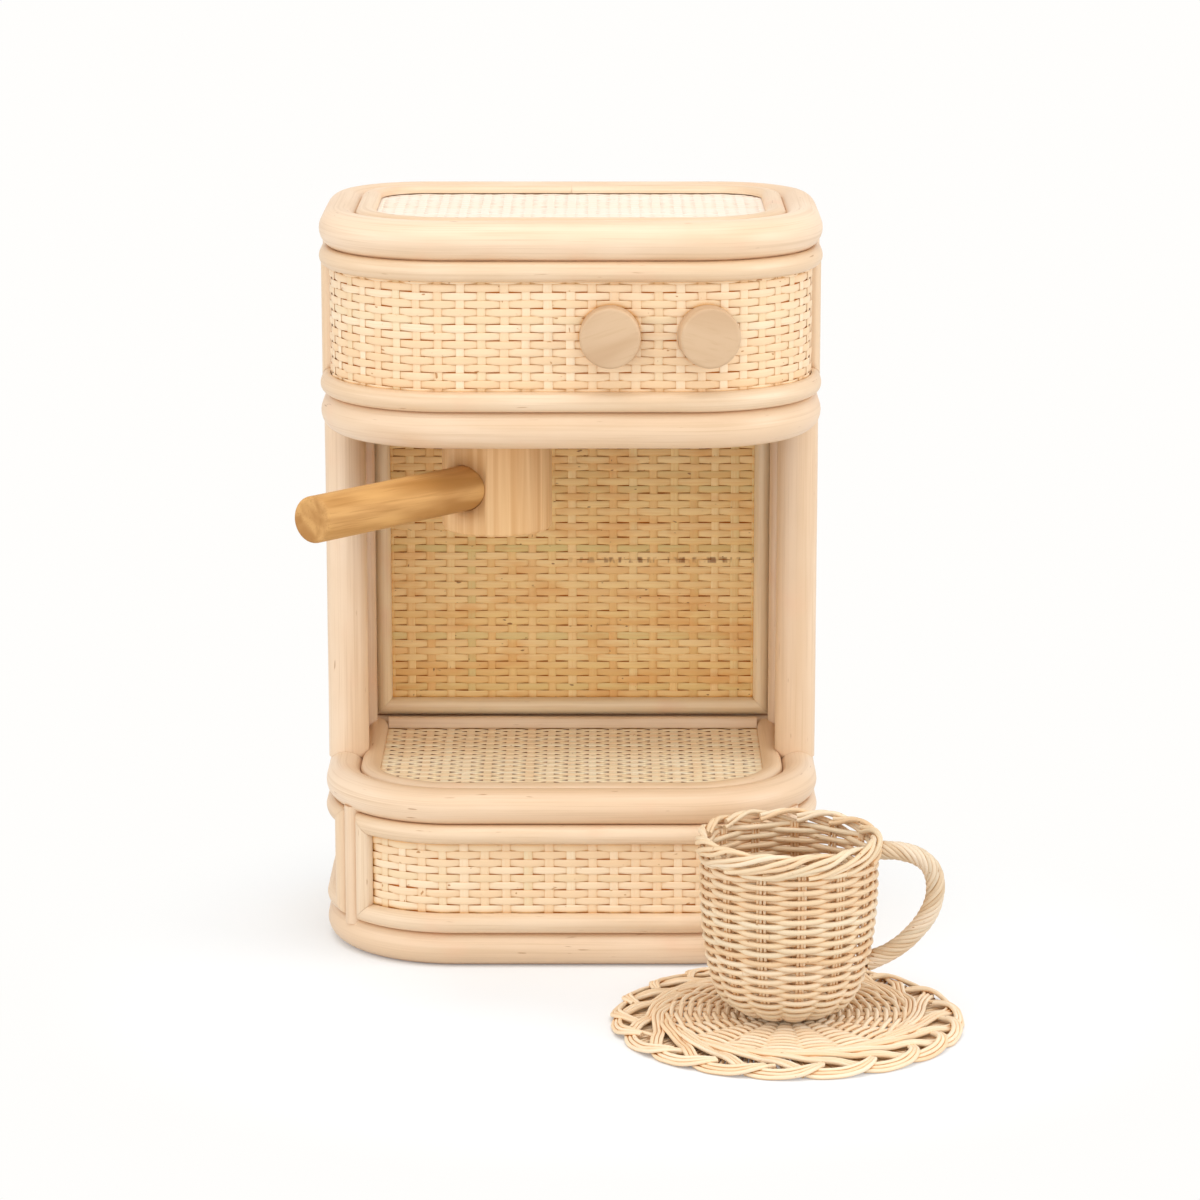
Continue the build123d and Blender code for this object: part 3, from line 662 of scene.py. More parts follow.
base_rail = (BASE_TOP_Z, BASE_POLE_R)
head_rail = (HEAD_BOTTOM_Z, HEAD_POLE_R)
top_rail = (HEAD_TOP_Z, HEAD_POLE_R)
front_post("left_front_post", -1, 21)
front_post("right_front_post", 1, 22)
pole_pair("rear_posts", 23, base_rail, head_rail)
pole_pair("head_side_battens", 24, head_rail, top_rail)
base_corner_battens()


# ======================= half-round trims =======================

# how much flatter than its full height a trim may be, as a share, and the distance between its rings
TRIM_SWELL = 0.02
TRIM_STEP = 3.0


def trim(bundle, to_point, fixed, start, end, section, slant, upright=False):
    """A trim from start to end, with its middle at fixed; slant 1 or -1 gives its ends a mitre."""
    a, b = section
    t = np.linspace(0, 1, max(int((end - start) / TRIM_STEP), 8))[:, None]
    first, last = start + slant * a, end - slant * a
    run = first + (last - first) * t
    if upright:
        grid = to_point(fixed + a, run, b)
    else:
        lift = 1 - TRIM_SWELL * (1 + wobble(run.mean(axis=1, keepdims=True), bundle.rng, 70))
        grid = to_point(run, fixed + a, b * lift)
    bundle.add(grid, xyz(run, a, b))


def mitred_frame(bundle, to_point, u0, u1, v0, v1, section):
    """Two level and two upright trims, mitred, whose middles run through the given corners."""
    trim(bundle, to_point, v0, u0, u1, section, 1.0)
    trim(bundle, to_point, v1, u0, u1, section, -1.0)
    trim(bundle, to_point, u0, v0 + SEAM, v1 - SEAM, section, 1.0, upright=True)
    trim(bundle, to_point, u1, v0 + SEAM, v1 - SEAM, section, -1.0, upright=True)


def swept_trim(bundle, x, y, nx, ny, z, section):
    """A half-round trim that lies on a level panel; the arrays give its route and its outward side."""
    a, b = section
    run = run_of(np.stack([x, y], axis=-1))[:, None]
    x, y, nx, ny = (values[:, None] for values in (x, y, nx, ny))
    rings = np.arange(len(x))[:, None]
    lift = 1 - TRIM_SWELL * (1 + wobble(rings * TRIM_STEP, bundle.rng, 80))
    bundle.add(xyz(x + a * nx, y + a * ny, z + b * lift), xyz(run, a, b))


def top_ring():
    """The trim round the woven top, whose ends nearly meet in the middle of the back."""
    low, high = node_box("top_ring_trim")
    loop = Loop(WIDTH / 2 - high[0] + TRIM_W / 2, HEAD_BACK_RADIUS)
    bundle = Bundle(81)
    s = np.linspace(-loop.total / 2 + SEAM, loop.total / 2 - SEAM, 320)
    swept_trim(bundle, *loop.at(s), low[2], half_round_section(TRIM_W, high[2] - low[2]))
    stand_for(bundle, "top_ring_half_round", TRIM, "top_ring_trim")


def platform_ring():
    """The trim round the platform: round its front, with straight legs to the back."""
    low, high = node_box("platform_ring_trim")
    loop = Loop(WIDTH / 2 - high[0] + TRIM_W / 2, BASE_BACK_RADIUS)
    bundle = Bundle(82)
    x, y, nx, ny = loop.at(np.linspace(loop.side(0.0, False) - loop.total, loop.side(0.0), 240))
    leg = np.linspace(high[1], 2.0, 24)
    none = np.zeros(len(leg))
    x = np.concatenate([none + x[0], x, none + x[-1]])
    y = np.concatenate([leg, y, leg[::-1]])
    nx = np.concatenate([none - 1, nx, none + 1])
    ny = np.concatenate([none, ny, none])
    swept_trim(bundle, x, y, nx, ny, low[2], half_round_section(TRIM_W, high[2] - low[2]))
    stand_for(bundle, "platform_ring_half_round", TRIM, "platform_ring_trim")


def platform_batten():
    """The flatter trim along the platform's back."""
    low, high = node_box("platform_back_batten")
    w, t = high[1] - low[1], high[2] - low[2]
    a, b = half_round_section(w, t)
    bundle = Bundle(83)
    x = np.linspace(low[0], high[0], 40)
    none = np.zeros(len(x))
    swept_trim(bundle, x, none + (low[1] + high[1]) / 2, none, none - 1, low[2], (a, np.minimum(b * 1.15, t)))
    stand_for(bundle, "platform_back_half_round", TRIM, "platform_back_batten")


# ======================= woven cane =======================

# how far a weave runs under the trims at its edges
UNDER_TRIM = 1.0
# how far a level weave stays inside its sheet's edge, and its sheet of painted shade inside the weave's loop
LEVEL_INSET = 0.4
SHADE_SHEET_INSET = 1.1


def weave(bundle, to_point, row_span, column_span, middle=(0.0, 0.0), relief=1.0, fill=1.0, steps=(8, 4)):
    """Plain weave of flat strips: wefts along u, warps along v, each over one and under the next.

    row_span(v) gives the ends of a weft, column_span(u) the ends of a warp, and middle is the u and v that
    the pattern starts from. relief scales how far the wefts rise, fill how wide they are, and steps are the
    rings of a weft and of a warp between two crossings."""
    rng = bundle.rng
    u_mid, v_mid = middle
    u_low, u_high = row_span(v_mid)
    v_low, v_high = column_span(u_mid)
    columns = int(max(u_high - u_mid, u_mid - u_low) / WARP_PITCH) + 1
    rows = int(max(v_high - v_mid, v_mid - v_low) / WEFT_PITCH) + 1
    a, b = CANE_SECTION
    thick = CANE_T * b
    warp_stray = rng.uniform(-WARP_STRAY, WARP_STRAY, 2 * columns + 1)

    for j in range(-rows, rows + 1):
        v = v_mid + j * WEFT_PITCH + rng.uniform(-WEFT_STRAY, WEFT_STRAY)
        u = strip_run(row_span(v), WARP_PITCH / steps[0])
        if u is None:
            continue
        rise = over_under(np.cos(math.pi * ((u - u_mid) / WARP_PITCH + j)), 1.1)
        pinch = 1 - WEFT_PINCH * relief * (1 - rise ** 2)
        width = fill * WEFT_W * rng.uniform(0.96, 1.03) * (pinch + wobble(u, rng, 60, 0.03))
        drift = wobble(u, rng, 110, 0.2)
        tilt = rng.uniform(-0.12, 0.12) * a * CANE_T
        h = WEFT_LIFT * relief * rise - SHEET_T / 2
        bundle.add(to_point(u, v + drift + width * a, h + thick + tilt), xyz(u, width * a, thick))
    for i in range(-columns, columns + 1):
        u = u_mid + i * WARP_PITCH + warp_stray[i + columns]
        v = strip_run(column_span(u), WEFT_PITCH / steps[1])
        if v is None:
            continue
        rise = -np.cos(math.pi * ((v - v_mid) / WEFT_PITCH + i))
        width = WARP_W * rng.uniform(0.92, 1.06) * (1 + wobble(v, rng, 50, 0.03))
        drift = wobble(v, rng, 90, 0.25)
        h = WARP_LIFT * rise - SHEET_T / 2
        bundle.add(to_point(u + drift + width * a, v, h + thick), xyz(v, width * a, thick))


def strip_run(ends, step):
    """The rings of a strip between its ends, or None if there is no room for it."""
    if ends is None:
        return None
    run = np.arange(ends[0], ends[1] + 0.01, step)[:, None]
    return run if len(run) > 2 else None


def straight_weave(bundle, to_point, wide, tall, **settings):
    """A weave that fills a rectangle of a wall."""
    middle = (sum(wide) / 2, sum(tall) / 2)
    weave(bundle, to_point, lambda v: wide if tall[0] < v < tall[1] else None,
          lambda u: tall if wide[0] < u < wide[1] else None, middle, **settings)


def shade_sheet(bundle, to_point, u, low, high):
    """A thin sheet of painted shade at the back of a weave, which fills its gaps with the colour of their
    shade and keeps light from showing through them; low and high are its ends at each u.
    """
    _, low, high = np.broadcast_arrays(u, low, high)
    u = u[:, None]
    v = np.stack([low, high, high, low], axis=-1)
    near = SHADE_SHEET_T - SHEET_T
    h = np.array([near, near, -SHEET_T, -SHEET_T])
    bundle.add(to_point(u, v, h), xyz(u, v, h), tone=SHADE_SHEET_TONE)


def inside_span(loop):
    """Ends along x for a y, and along y for an x, of the space inside a loop."""
    x, y, _, _ = loop.at(np.linspace(0, loop.total, 1440, endpoint=False))

    def reach(at, known, wanted, part):
        order = np.argsort(known[part])
        return float(np.interp(at, known[part][order], wanted[part][order]))

    def row(v):
        if abs(v) > loop.hy - 1:
            return None
        half = reach(v, y, x, x > 0)
        return -half, half

    def column(u):
        if abs(u) > loop.hx - 1:
            return None
        return reach(abs(u), x, y, (x > 0) & (y < 0)), reach(abs(u), x, y, (x > 0) & (y > 0))

    return row, column


def shoulder(radius, inset):
    """Height over a pole's middle at which its side has come in by inset."""
    return math.sqrt(radius ** 2 - (radius - inset) ** 2)


def panels():
    """Each wall's loop, the middles of its upright trims along it, and its lower and upper edge."""
    front_right, back_right, back_left, front_left = batten_spots
    base_edge = shoulder(BASE_POLE_R, SHEET_INSET) + TOUCH
    head_edge = shoulder(HEAD_POLE_R, SHEET_INSET) + TOUCH
    base = (BASE_BOTTOM_Z + base_edge, BASE_TOP_Z - base_edge)
    head = (HEAD_BOTTOM_Z + head_edge, HEAD_TOP_Z - head_edge)
    column = (BASE_TOP_Z + base_edge, HEAD_BOTTOM_Z - HEAD_POLE_R - TOUCH)
    beside = (TRIM_W + BATTEN_D) / 2 + TOUCH
    post_low, post_high = node_box("left_front_post")
    post_y = (post_low[1] + post_high[1]) / 2
    edge_y = node_box("column_shell_trim")[0][1] + TRIM_W / 2
    return {
        "base_front": (base_sheet, front_left + beside - base_sheet.total, front_right - beside, *base),
        "base_right": (base_sheet, front_right + beside, back_right - beside, *base),
        "base_back": (base_sheet, back_right + beside, back_left - beside, *base),
        "base_left": (base_sheet, back_left + beside, front_left - beside, *base),
        "head_front": (head_sheet, head_sheet.side(post_y - beside, False) - head_sheet.total,
                       head_sheet.side(post_y - beside), *head),
        "head_rear": (head_sheet, head_sheet.side(post_y + beside),
                      head_sheet.side(post_y + beside, False), *head),
        "column_shell": (column_sheet, column_sheet.side(edge_y), column_sheet.side(edge_y, False), *column),
    }


def wall_panel(number, panel, loop, s0, s1, z0, z1):
    """The trims and the woven cane of one wall."""
    to_point = wall_map(loop)
    half = TRIM_W / 2
    bundle = Bundle(40 + number)
    mitred_frame(bundle, to_point, s0, s1, z0 + half, z1 - half, half_round_section(TRIM_W, TRIM_PROUD))
    stand_for(bundle, f"{panel}_half_rounds", TRIM, f"{panel}_trim")
    bundle = Bundle(60 + number)
    wide = (s0 - UNDER_TRIM, s1 + UNDER_TRIM)
    tall = (z0 + UNDER_TRIM, z1 - UNDER_TRIM)
    if panel == "column_shell":
        # seen from both sides, so it has no sheet of painted shade behind it; it is large, so its strips have
        # fewer rings
        straight_weave(bundle, to_point, wide, tall, steps=(5, 3))
    else:
        # painted shade: a sheet behind the strips, in the colour of the shade in their gaps
        shade_sheet(bundle, to_point, np.arange(*wide, 3.0), *tall)
        straight_weave(bundle, to_point, wide, tall)
    stand_for(bundle, f"{panel}_cane", CANE, f"{panel}_weave")


def level_weave(node, name, back_radius, seed, material, relief, fill):
    """A woven sheet that lies level inside a hoop."""
    low, high = node_box(node)
    loop = Loop(WIDTH / 2 - high[0] + LEVEL_INSET, back_radius)
    row, column = inside_span(loop)
    bundle = Bundle(seed)
    weave(bundle, level_map(high[2]), row, column, relief=relief, fill=fill)
    # painted shade: a sheet behind the strips, in the colour of the shade in their gaps
    x = np.linspace(SHADE_SHEET_INSET - loop.hx, loop.hx - SHADE_SHEET_INSET, 61)
    shade_sheet(bundle, level_map(high[2]), x, *np.transpose([column(u) for u in x]))
    stand_for(bundle, name, material, node)


def inner_back():
    """The woven panel and the trims at the back of the bay."""
    low, high = node_box("column_inner_weave")
    bundle = Bundle(73)
    wide, tall = (low[0] + 0.5, high[0] - 0.5), (low[2] + 0.5, high[2] - 0.5)
    # painted shade: a sheet behind the strips, in the colour of the shade in their gaps
    shade_sheet(bundle, facing_map(low[1]), np.array(wide), *tall)
    straight_weave(bundle, facing_map(low[1]), wide, tall)
    stand_for(bundle, "column_inner_cane", CANE_OCHRE_AND_SHADE, "column_inner_weave")
    low, high = node_box("column_inner_trim")
    half = INNER_TRIM_W / 2
    bundle = Bundle(74)
    mitred_frame(bundle, facing_map(high[1]), low[0] + half, high[0] - half, low[2] + half, high[2] - half,
                 half_round_section(INNER_TRIM_W, high[1] - low[1]))
    stand_for(bundle, "column_inner_half_rounds", INNER_TRIM, "column_inner_trim")


for number, (panel, place) in enumerate(panels().items()):
    wall_panel(number, panel, *place)
level_weave("platform_weave", "platform_cane", BASE_BACK_RADIUS, 71, CANE_LIT_PLATFORM, 0.8, 1.005)
level_weave("top_weave", "top_cane", HEAD_BACK_RADIUS, 72, CANE_TOP, 0.35, 1.03)
inner_back()
top_ring()
platform_ring()
platform_batten()


# ======================= turned wood =======================

# the knob's back and face, over the wall along its axis
KNOB_BACK = 0.3
KNOB_FACE = 13.1
# the way of the grain on each knob's face
KNOB_GRAIN = {"left": (1.0, 0.0, 0.35), "right": (1.0, 0.0, -0.25)}
HANDLE_Z = 235.6
HANDLE_START = 16.5
HANDLE_REACH = 145.0
HANDLE_SWING = math.radians(36.0)
HANDLE_RISE = math.radians(1.6)
HANDLE_D = 22.6
HOLE_GAP = 0.25
HOLE_START = 17.0
HOLE_END = 60.0


def turned(bundle, origin, axis, profile, grain_way, sides=72):
    """A body turned round an axis. profile is (radius, height); grain_way is the wood's long direction."""
    axis = np.array(axis, float) / np.linalg.norm(axis)
    side = np.cross(axis, (0.0, 0.0, 1.0) if abs(axis[2]) < 0.9 else (1.0, 0.0, 0.0))
    side /= np.linalg.norm(side)
    other = np.cross(axis, side)
    t = np.linspace(0, 2 * math.pi, sides, endpoint=False)
    spokes = np.cos(t)[:, None] * side + np.sin(t)[:, None] * other
    radius, height = np.array(profile, float).T[:, :, None, None]
    local = height * axis + radius * spokes
    way = np.array(grain_way, float) / np.linalg.norm(grain_way)
    cross = np.cross(way, (0.31, 0.52, 0.79))
    cross /= np.linalg.norm(cross)
    bundle.add(np.array(origin) + local, xyz(local @ way, local @ cross, local @ np.cross(way, cross)))


def rounded_profile(radius, h0, h1, edge0, edge1, crown=0.0):
    """Profile of a turned cylinder from h0 to h1 with rounded edges and a slightly crowned far face."""
    turn = np.linspace(0, math.pi / 2, 7)
    share = np.array([0.85, 0.6, 0.3, 0.06])
    near = (radius - edge0 + edge0 * np.sin(turn), h0 + edge0 - edge0 * np.cos(turn))
    far = (radius - edge1 + edge1 * np.cos(turn), h1 - edge1 - crown + edge1 * np.sin(turn))
    face = ((radius - edge1) * share, h1 - crown * share ** 2)
    return np.hstack([([radius * 0.05], [h0]), near, far, face]).T


def knobs():
    joints = {joint["name"]: joint for joint in frame["joints"]}
    for side, seed in (("left", 91), ("right", 92)):
        joint = joints[f"{side}_knob_turn"]
        low, high = node_box(f"{side}_knob")
        bundle = Bundle(seed)
        profile = rounded_profile((high[2] - low[2]) / 2, KNOB_BACK, KNOB_FACE, 0.8, 1.5, crown=0.5)
        turned(bundle, np.array(joint["pos_m"]) / MM, joint["axis"], profile, KNOB_GRAIN[side])
        stand_for(bundle, f"{side}_knob_turned", KNOB_WOOD, f"{side}_knob")


def cut_bore(block, origin, aim):
    """Cuts the handle's hole into the block, which gets a new mesh."""
    bore = Bundle(94)
    hole_r = HANDLE_D / 2 + HOLE_GAP
    turned(bore, origin, aim, [(hole_r, HOLE_START), (hole_r, HOLE_END)], aim)
    cutter = bpy.data.objects.new("bore", bore.mesh("bore"))
    bpy.context.scene.collection.objects.link(cutter)
    cut = block.modifiers.new("bore", "BOOLEAN")
    cut.object, cut.operation, cut.solver = cutter, "DIFFERENCE", "EXACT"
    bpy.context.view_layer.update()
    made = bpy.data.meshes.new_from_object(block.evaluated_get(bpy.context.evaluated_depsgraph_get()))
    block.modifiers.clear()
    block.data = made
    bpy.data.objects.remove(cutter)
    # the cut made new corners, so the upright grain is laid over the block again
    spots = np.zeros(len(made.vertices) * 3, np.float32)
    made.vertices.foreach_get("co", spots)
    if "grain" in made.attributes:
        made.attributes.remove(made.attributes["grain"])
    layer = made.attributes.new("grain", "FLOAT_VECTOR", "POINT")
    layer.data.foreach_set("vector", spots.reshape(-1, 3)[:, ::-1].reshape(-1).copy())


def group():
    """The block of the brew group and the dowel that is its handle."""
    low, high = node_box("group_block")
    x, y, _ = (low + high) / 2
    level = math.cos(HANDLE_RISE)
    aim = np.array([-math.sin(HANDLE_SWING) * level, -math.cos(HANDLE_SWING) * level, math.sin(HANDLE_RISE)])
    origin = np.array([x, y, HANDLE_Z])
    bundle = Bundle(93)
    profile = rounded_profile((high[0] - low[0]) / 2, 0.0, high[2] - low[2], 2.2, 1.0)
    turned(bundle, (x, y, low[2]), (0, 0, 1), profile, (0, 0, 1), sides=96)
    block = stand_for(bundle, "group_block_turned", BLOCK_WOOD, "group_block")
    cut_bore(block, origin, aim)
    bundle = Bundle(95)
    profile = rounded_profile(HANDLE_D / 2, HANDLE_START, HANDLE_REACH, 0.3, 1.6, crown=0.2)
    turned(bundle, origin, aim, profile, aim + np.array([0, 0, 0.03]))
    stand_for(bundle, "group_handle_dowel", HANDLE_WOOD, "group_handle")


knobs()
group()


# ======================= wicker cup =======================

STAKES = 13
PER_STAKE = 9
CUP_ROW = 2.38
WEAVER_R = 1.38
WEAVER_SWAY = 1.55
STAKE_R = 0.76
# outside of the cup: distance from its axis and height over its foot
CUP_PROFILE = ((2.0, 0.0), (12.0, 0.0), (22.0, 0.3), (31.8, 6.6), (37.3, 16.5), (41.0, 34.0), (43.0, 56.0),
               (43.2, 82.0))
RIM_STRAND_R = 1.24
# a rim strand's way round the rim's section in degrees, from low outside over the top, by share of its run
RIM_TURNS = ((0.0, -120), (0.14, -72), (0.38, -20), (0.60, 36), (0.76, 96), (0.92, 150), (1.03, 172))
# a rim strand's length in stakes, the half width and half height of the rim's section, and how far the
# outer ends come out and run down the wall
RIM_RUN = 2.9
RIM_HALF_W = 2.0
RIM_HALF_H = 3.75
RIM_END_OUT = 1.1
RIM_END_DOWN = 2.6
# middle line of the rope handle, over the foot
ROPE_ROUTE = ((38.8, 79.3), (46.0, 79.1), (53.6, 78.5), (61.6, 75.9), (67.8, 70.3), (70.1, 61.5),
              (68.7, 52.1), (64.6, 43.9), (57.6, 35.6), (49.4, 29.2), (37.6, 23.6))
ROPE_R = 4.6
ROPE_STRANDS = 10
ROPE_STRAND_R = 1.2
ROPE_TWIST = 34.0

cup_low, cup_high = node_box("cup_wall")
CUP_X, CUP_Y, _ = (cup_low + cup_high) / 2
CUP_FOOT = cup_low[2]


def strand(bundle, path, radius, facing, sides=8, flat=1.0):
    """A round strand along a path. facing gives, at each point, the side that flat thins."""
    way = ways(path)
    facing = np.broadcast_to(np.asarray(facing, float), path.shape)
    normal = facing - (facing * way).sum(axis=1, keepdims=True) * way
    normal /= np.linalg.norm(normal, axis=1, keepdims=True)
    side = np.cross(way, normal)
    t = np.linspace(0, 2 * math.pi, sides, endpoint=False)
    r = np.broadcast_to(radius, (len(path),))[:, None]
    a, b = r * np.cos(t) * flat, r * np.sin(t)
    grid = path[:, None] + a[..., None] * normal[:, None] + b[..., None] * side[:, None]
    bundle.add(grid, xyz(run_of(path)[:, None], a, b))


def cup_wall():
    """Stakes of three strands up the cup's outline, and a weaver that winds round them."""
    outside, run = curve_through(CUP_PROFILE, 240)
    out = right_of(ways(outside))
    middle = outside - out * (WEAVER_SWAY + WEAVER_R)

    def point(up, theta, h):
        """Points of the wall and their outward side, from the way up, round and out of its middle."""
        r, z = read_at(up, run, middle)
        out_r, out_z = read_at(up, run, out)
        return (around(CUP_X, CUP_Y, r + h * out_r, theta, CUP_FOOT + z + h * out_z),
                around(0.0, 0.0, out_r, theta, out_z))

    bundle = Bundle(101)
    rng = bundle.rng
    turns = (run[-1] - 1.0) / CUP_ROW
    theta = np.arange(0, turns * 2 * math.pi, 2 * math.pi / (STAKES * PER_STAKE))
    sway = WEAVER_SWAY * over_under(np.cos(STAKES / 2 * theta), 1.25) + wobble(theta, rng, 0.9, 0.10)
    pinch = 1 - 0.05 * np.cos(STAKES * theta)
    up = theta / (2 * math.pi) * CUP_ROW + wobble(theta, rng, 1.7, 0.14)
    path, facing = point(up, theta, sway)
    # cut into lengths of a little over two turns, as the real weaver is, so that each has its own tone
    length = STAKES * PER_STAKE * 2 + 31
    for start in range(0, len(theta) - 20, length):
        part = slice(start, start + length + 1)
        strand(bundle, path[part], WEAVER_R * pinch[part], facing[part], flat=0.9)
    up = np.linspace(0.5, run[-1] + 1.0, 70)
    r = np.maximum(read_at(up, run, middle)[0], 1.5)
    apart = np.minimum(STAKE_R * 2.02, r * 0.14) / r
    for i in range(STAKES):
        for k in (-1, 0, 1):
            theta = 2 * math.pi * i / STAKES + k * apart + rng.uniform(-0.006, 0.006)
            path, facing = point(up, theta, 0.12 if k == 0 else 0.0)
            strand(bundle, path, STAKE_R, facing, sides=7)
    stand_for(bundle, "cup_wicker_wall", WICKER, "cup_wall")


def cup_rim():
    """Pairs of strands that run on round the cup while they wind over its rim."""
    low, high = node_box("cup_rim")
    rim_r = (high[0] - low[0]) / 2 - (high[2] - low[2]) * 0.32
    rim_z = (low[2] + high[2]) / 2 - 0.2
    bundle = Bundle(102)
    rng = bundle.rng
    spacing = 2 * math.pi / STAKES
    for i in range(STAKES):
        lead = rng.uniform(-0.06, 0.06)
        for k in (-0.5, 0.5):
            t = np.linspace(0, rng.uniform(0.95, 1.03), 60)
            turn = np.interp(t, *np.transpose(RIM_TURNS)) + k * 36 + wobble(t, rng, 0.8, 9)
            turn = np.radians(smoothed(turn, 4))
            # each pair lies over its neighbours where it crosses the top
            swell = 1 + 0.15 * np.exp(-((t - 0.66) / 0.15) ** 2) - 0.10 * np.exp(-((t - 0.28) / 0.16) ** 2)
            swell = swell + wobble(t, rng, 0.8, 0.05)
            angle = spacing * (i + 0.1 + lead) + t * RIM_RUN * spacing
            low_end = np.clip(1 - t / 0.42, 0, 1) ** 1.3
            r = rim_r + RIM_HALF_W * swell * np.cos(turn) + RIM_END_OUT * low_end
            z = rim_z + RIM_HALF_H * swell * np.sin(turn) - RIM_END_DOWN * low_end
            path = around(CUP_X, CUP_Y, r, angle, z)
            facing = around(0.0, 0.0, np.cos(turn), angle, np.sin(turn))
            strand(bundle, path, RIM_STRAND_R * rng.uniform(0.93, 1.06), facing)
    stand_for(bundle, "cup_plaited_rim", WICKER, "cup_rim")


def cup_rope():
    """Thin strands twisted round a core along the handle's route."""
    route, at = curve_through(ROPE_ROUTE, 170)
    route = xyz(CUP_X + route[:, 0], CUP_Y, CUP_FOOT + route[:, 1])
    side = np.array([0.0, 1.0, 0.0])
    other = np.cross(ways(route), side)
    bundle = Bundle(103)
    rng = bundle.rng
    spread = ROPE_R * (1 + wobble(at, rng, 50, 0.03)) - 1.12
    for k in range(ROPE_STRANDS):
        turn = 2 * math.pi * (k / ROPE_STRANDS - at / ROPE_TWIST) + wobble(at, rng, 40, 0.08)
        spoke = np.cos(turn)[:, None] * side - np.sin(turn)[:, None] * other
        path = route + spread[:, None] * spoke
        strand(bundle, path, ROPE_STRAND_R * rng.uniform(0.95, 1.08), spoke, flat=0.9)
    strand(bundle, route, ROPE_R - 2.0, side, sides=10)
    stand_for(bundle, "cup_rope_handle", ROPE_WICKER, "cup_handle")


cup_wall()
cup_rim()
cup_rope()


# ======================= wicker saucer =======================

SPOKES = 19
PER_SPOKE = 9
SAUCER_ROW = 2.25
SAUCER_STRAND_R = 1.14
SAUCER_SWAY = 1.15
SAUCER_MIDDLE_Z = 4.45
SPOKE_STRAND_R = 0.74
INNER_R = 2.5
DISC_R = 59.0
BORDER_STRAND_R = 1.04
UNDER_STAKES = 8
UNDER_R = 0.98
UNDER_Z = 1.05
UNDER_START = 57.0
UNDER_END = 80.6
# a border group's way: degrees round the saucer, distance from its middle, height, and the group's
# roll in degrees, which brings its outer strand down at the rim
BORDER_ROUTE = ((-48, 55.2, 3.4, 0), (-40, 57.8, 4.9, 0), (-30, 60.5, 5.6, 0), (-22, 62.3, 5.6, 0),
                (-14, 63.9, 4.7, 0), (-8, 65.4, 3.7, 0), (-4, 67.8, 4.2, 0), (0, 71.4, 4.9, 0),
                (3.5, 74.9, 4.2, 0), (6.5, 77.8, 2.8, 10), (10, 80.6, 2.3, 28), (15, 82.2, 2.35, 36),
                (21, 82.6, 2.6, 36), (26, 82.0, 3.9, 30), (29.5, 80.2, 4.9, 15), (32, 77.4, 5.0, 0),
                (34.2, 73.8, 4.2, 0), (36, 70.6, 3.2, 0))

saucer_low, saucer_high = node_box("saucer_border")
SAUCER_X, SAUCER_Y, _ = (saucer_low + saucer_high) / 2
SAUCER_R = (saucer_high[0] - saucer_low[0]) / 2
UPWARD = (0, 0, 1)


def saucer_disc():
    """Spokes of three strands, and a weaver that winds outward over and under them."""
    bundle = Bundle(111)
    rng = bundle.rng
    per_turn = SPOKES * PER_SPOKE
    theta = np.arange(0, (DISC_R - INNER_R) / SAUCER_ROW * 2 * math.pi, 2 * math.pi / per_turn)
    r = INNER_R + theta / (2 * math.pi) * SAUCER_ROW + wobble(theta, rng, 1.9, 0.12)
    # the strands press closer towards the middle
    sway = SAUCER_SWAY * np.minimum(1, 0.45 + r / 50)
    z = SAUCER_MIDDLE_Z + sway * over_under(np.cos(SPOKES / 2 * theta), 1.2) + wobble(theta, rng, 0.8, 0.06)
    path = around(SAUCER_X, SAUCER_Y, r, theta, z)
    length = int(per_turn * 1.4)
    for start in range(0, len(theta) - 20, length):
        strand(bundle, path[start:start + length + 1], SAUCER_STRAND_R, UPWARD, flat=0.95)
    r = np.linspace(0.8, DISC_R - 2, 32)
    for i in range(SPOKES):
        for k in (-1, 0, 1):
            angle = 2 * math.pi * i / SPOKES + k * np.minimum(1.5, r * 0.08) / r
            path = around(SAUCER_X, SAUCER_Y, r, angle, SAUCER_MIDDLE_Z)
            strand(bundle, path, SPOKE_STRAND_R, UPWARD, sides=7)
    stand_for(bundle, "saucer_radial_weave", SAUCER_WICKER, "saucer_disc")


def border_strand(bundle, lead, turn, r, z, roll, k):
    """One of the three strands of a border group; k is -1 for the inner one and 1 for the outer one."""
    angle = np.radians(lead + turn)
    centre = np.stack([r * np.cos(angle), r * np.sin(angle)], axis=-1)
    apart = k * BORDER_STRAND_R * 1.96 * np.interp(turn, (26, 36), (1.0, 0.6))
    flat_path = centre + right_of(ways(centre)) * (apart * np.cos(roll))[:, None]
    # no strand leaves the saucer's outline
    limit = SAUCER_R - TOUCH - BORDER_STRAND_R * 1.05
    x, y = (flat_path * np.minimum(1, limit / np.linalg.norm(flat_path, axis=1))[:, None]).T
    height = z - apart * np.sin(roll) + wobble(turn, bundle.rng, 25, 0.12)
    path = xyz(SAUCER_X + x, SAUCER_Y + y, np.maximum(height, BORDER_STRAND_R + 0.02))
    strand(bundle, path, BORDER_STRAND_R * bundle.rng.uniform(0.95, 1.05), UPWARD)


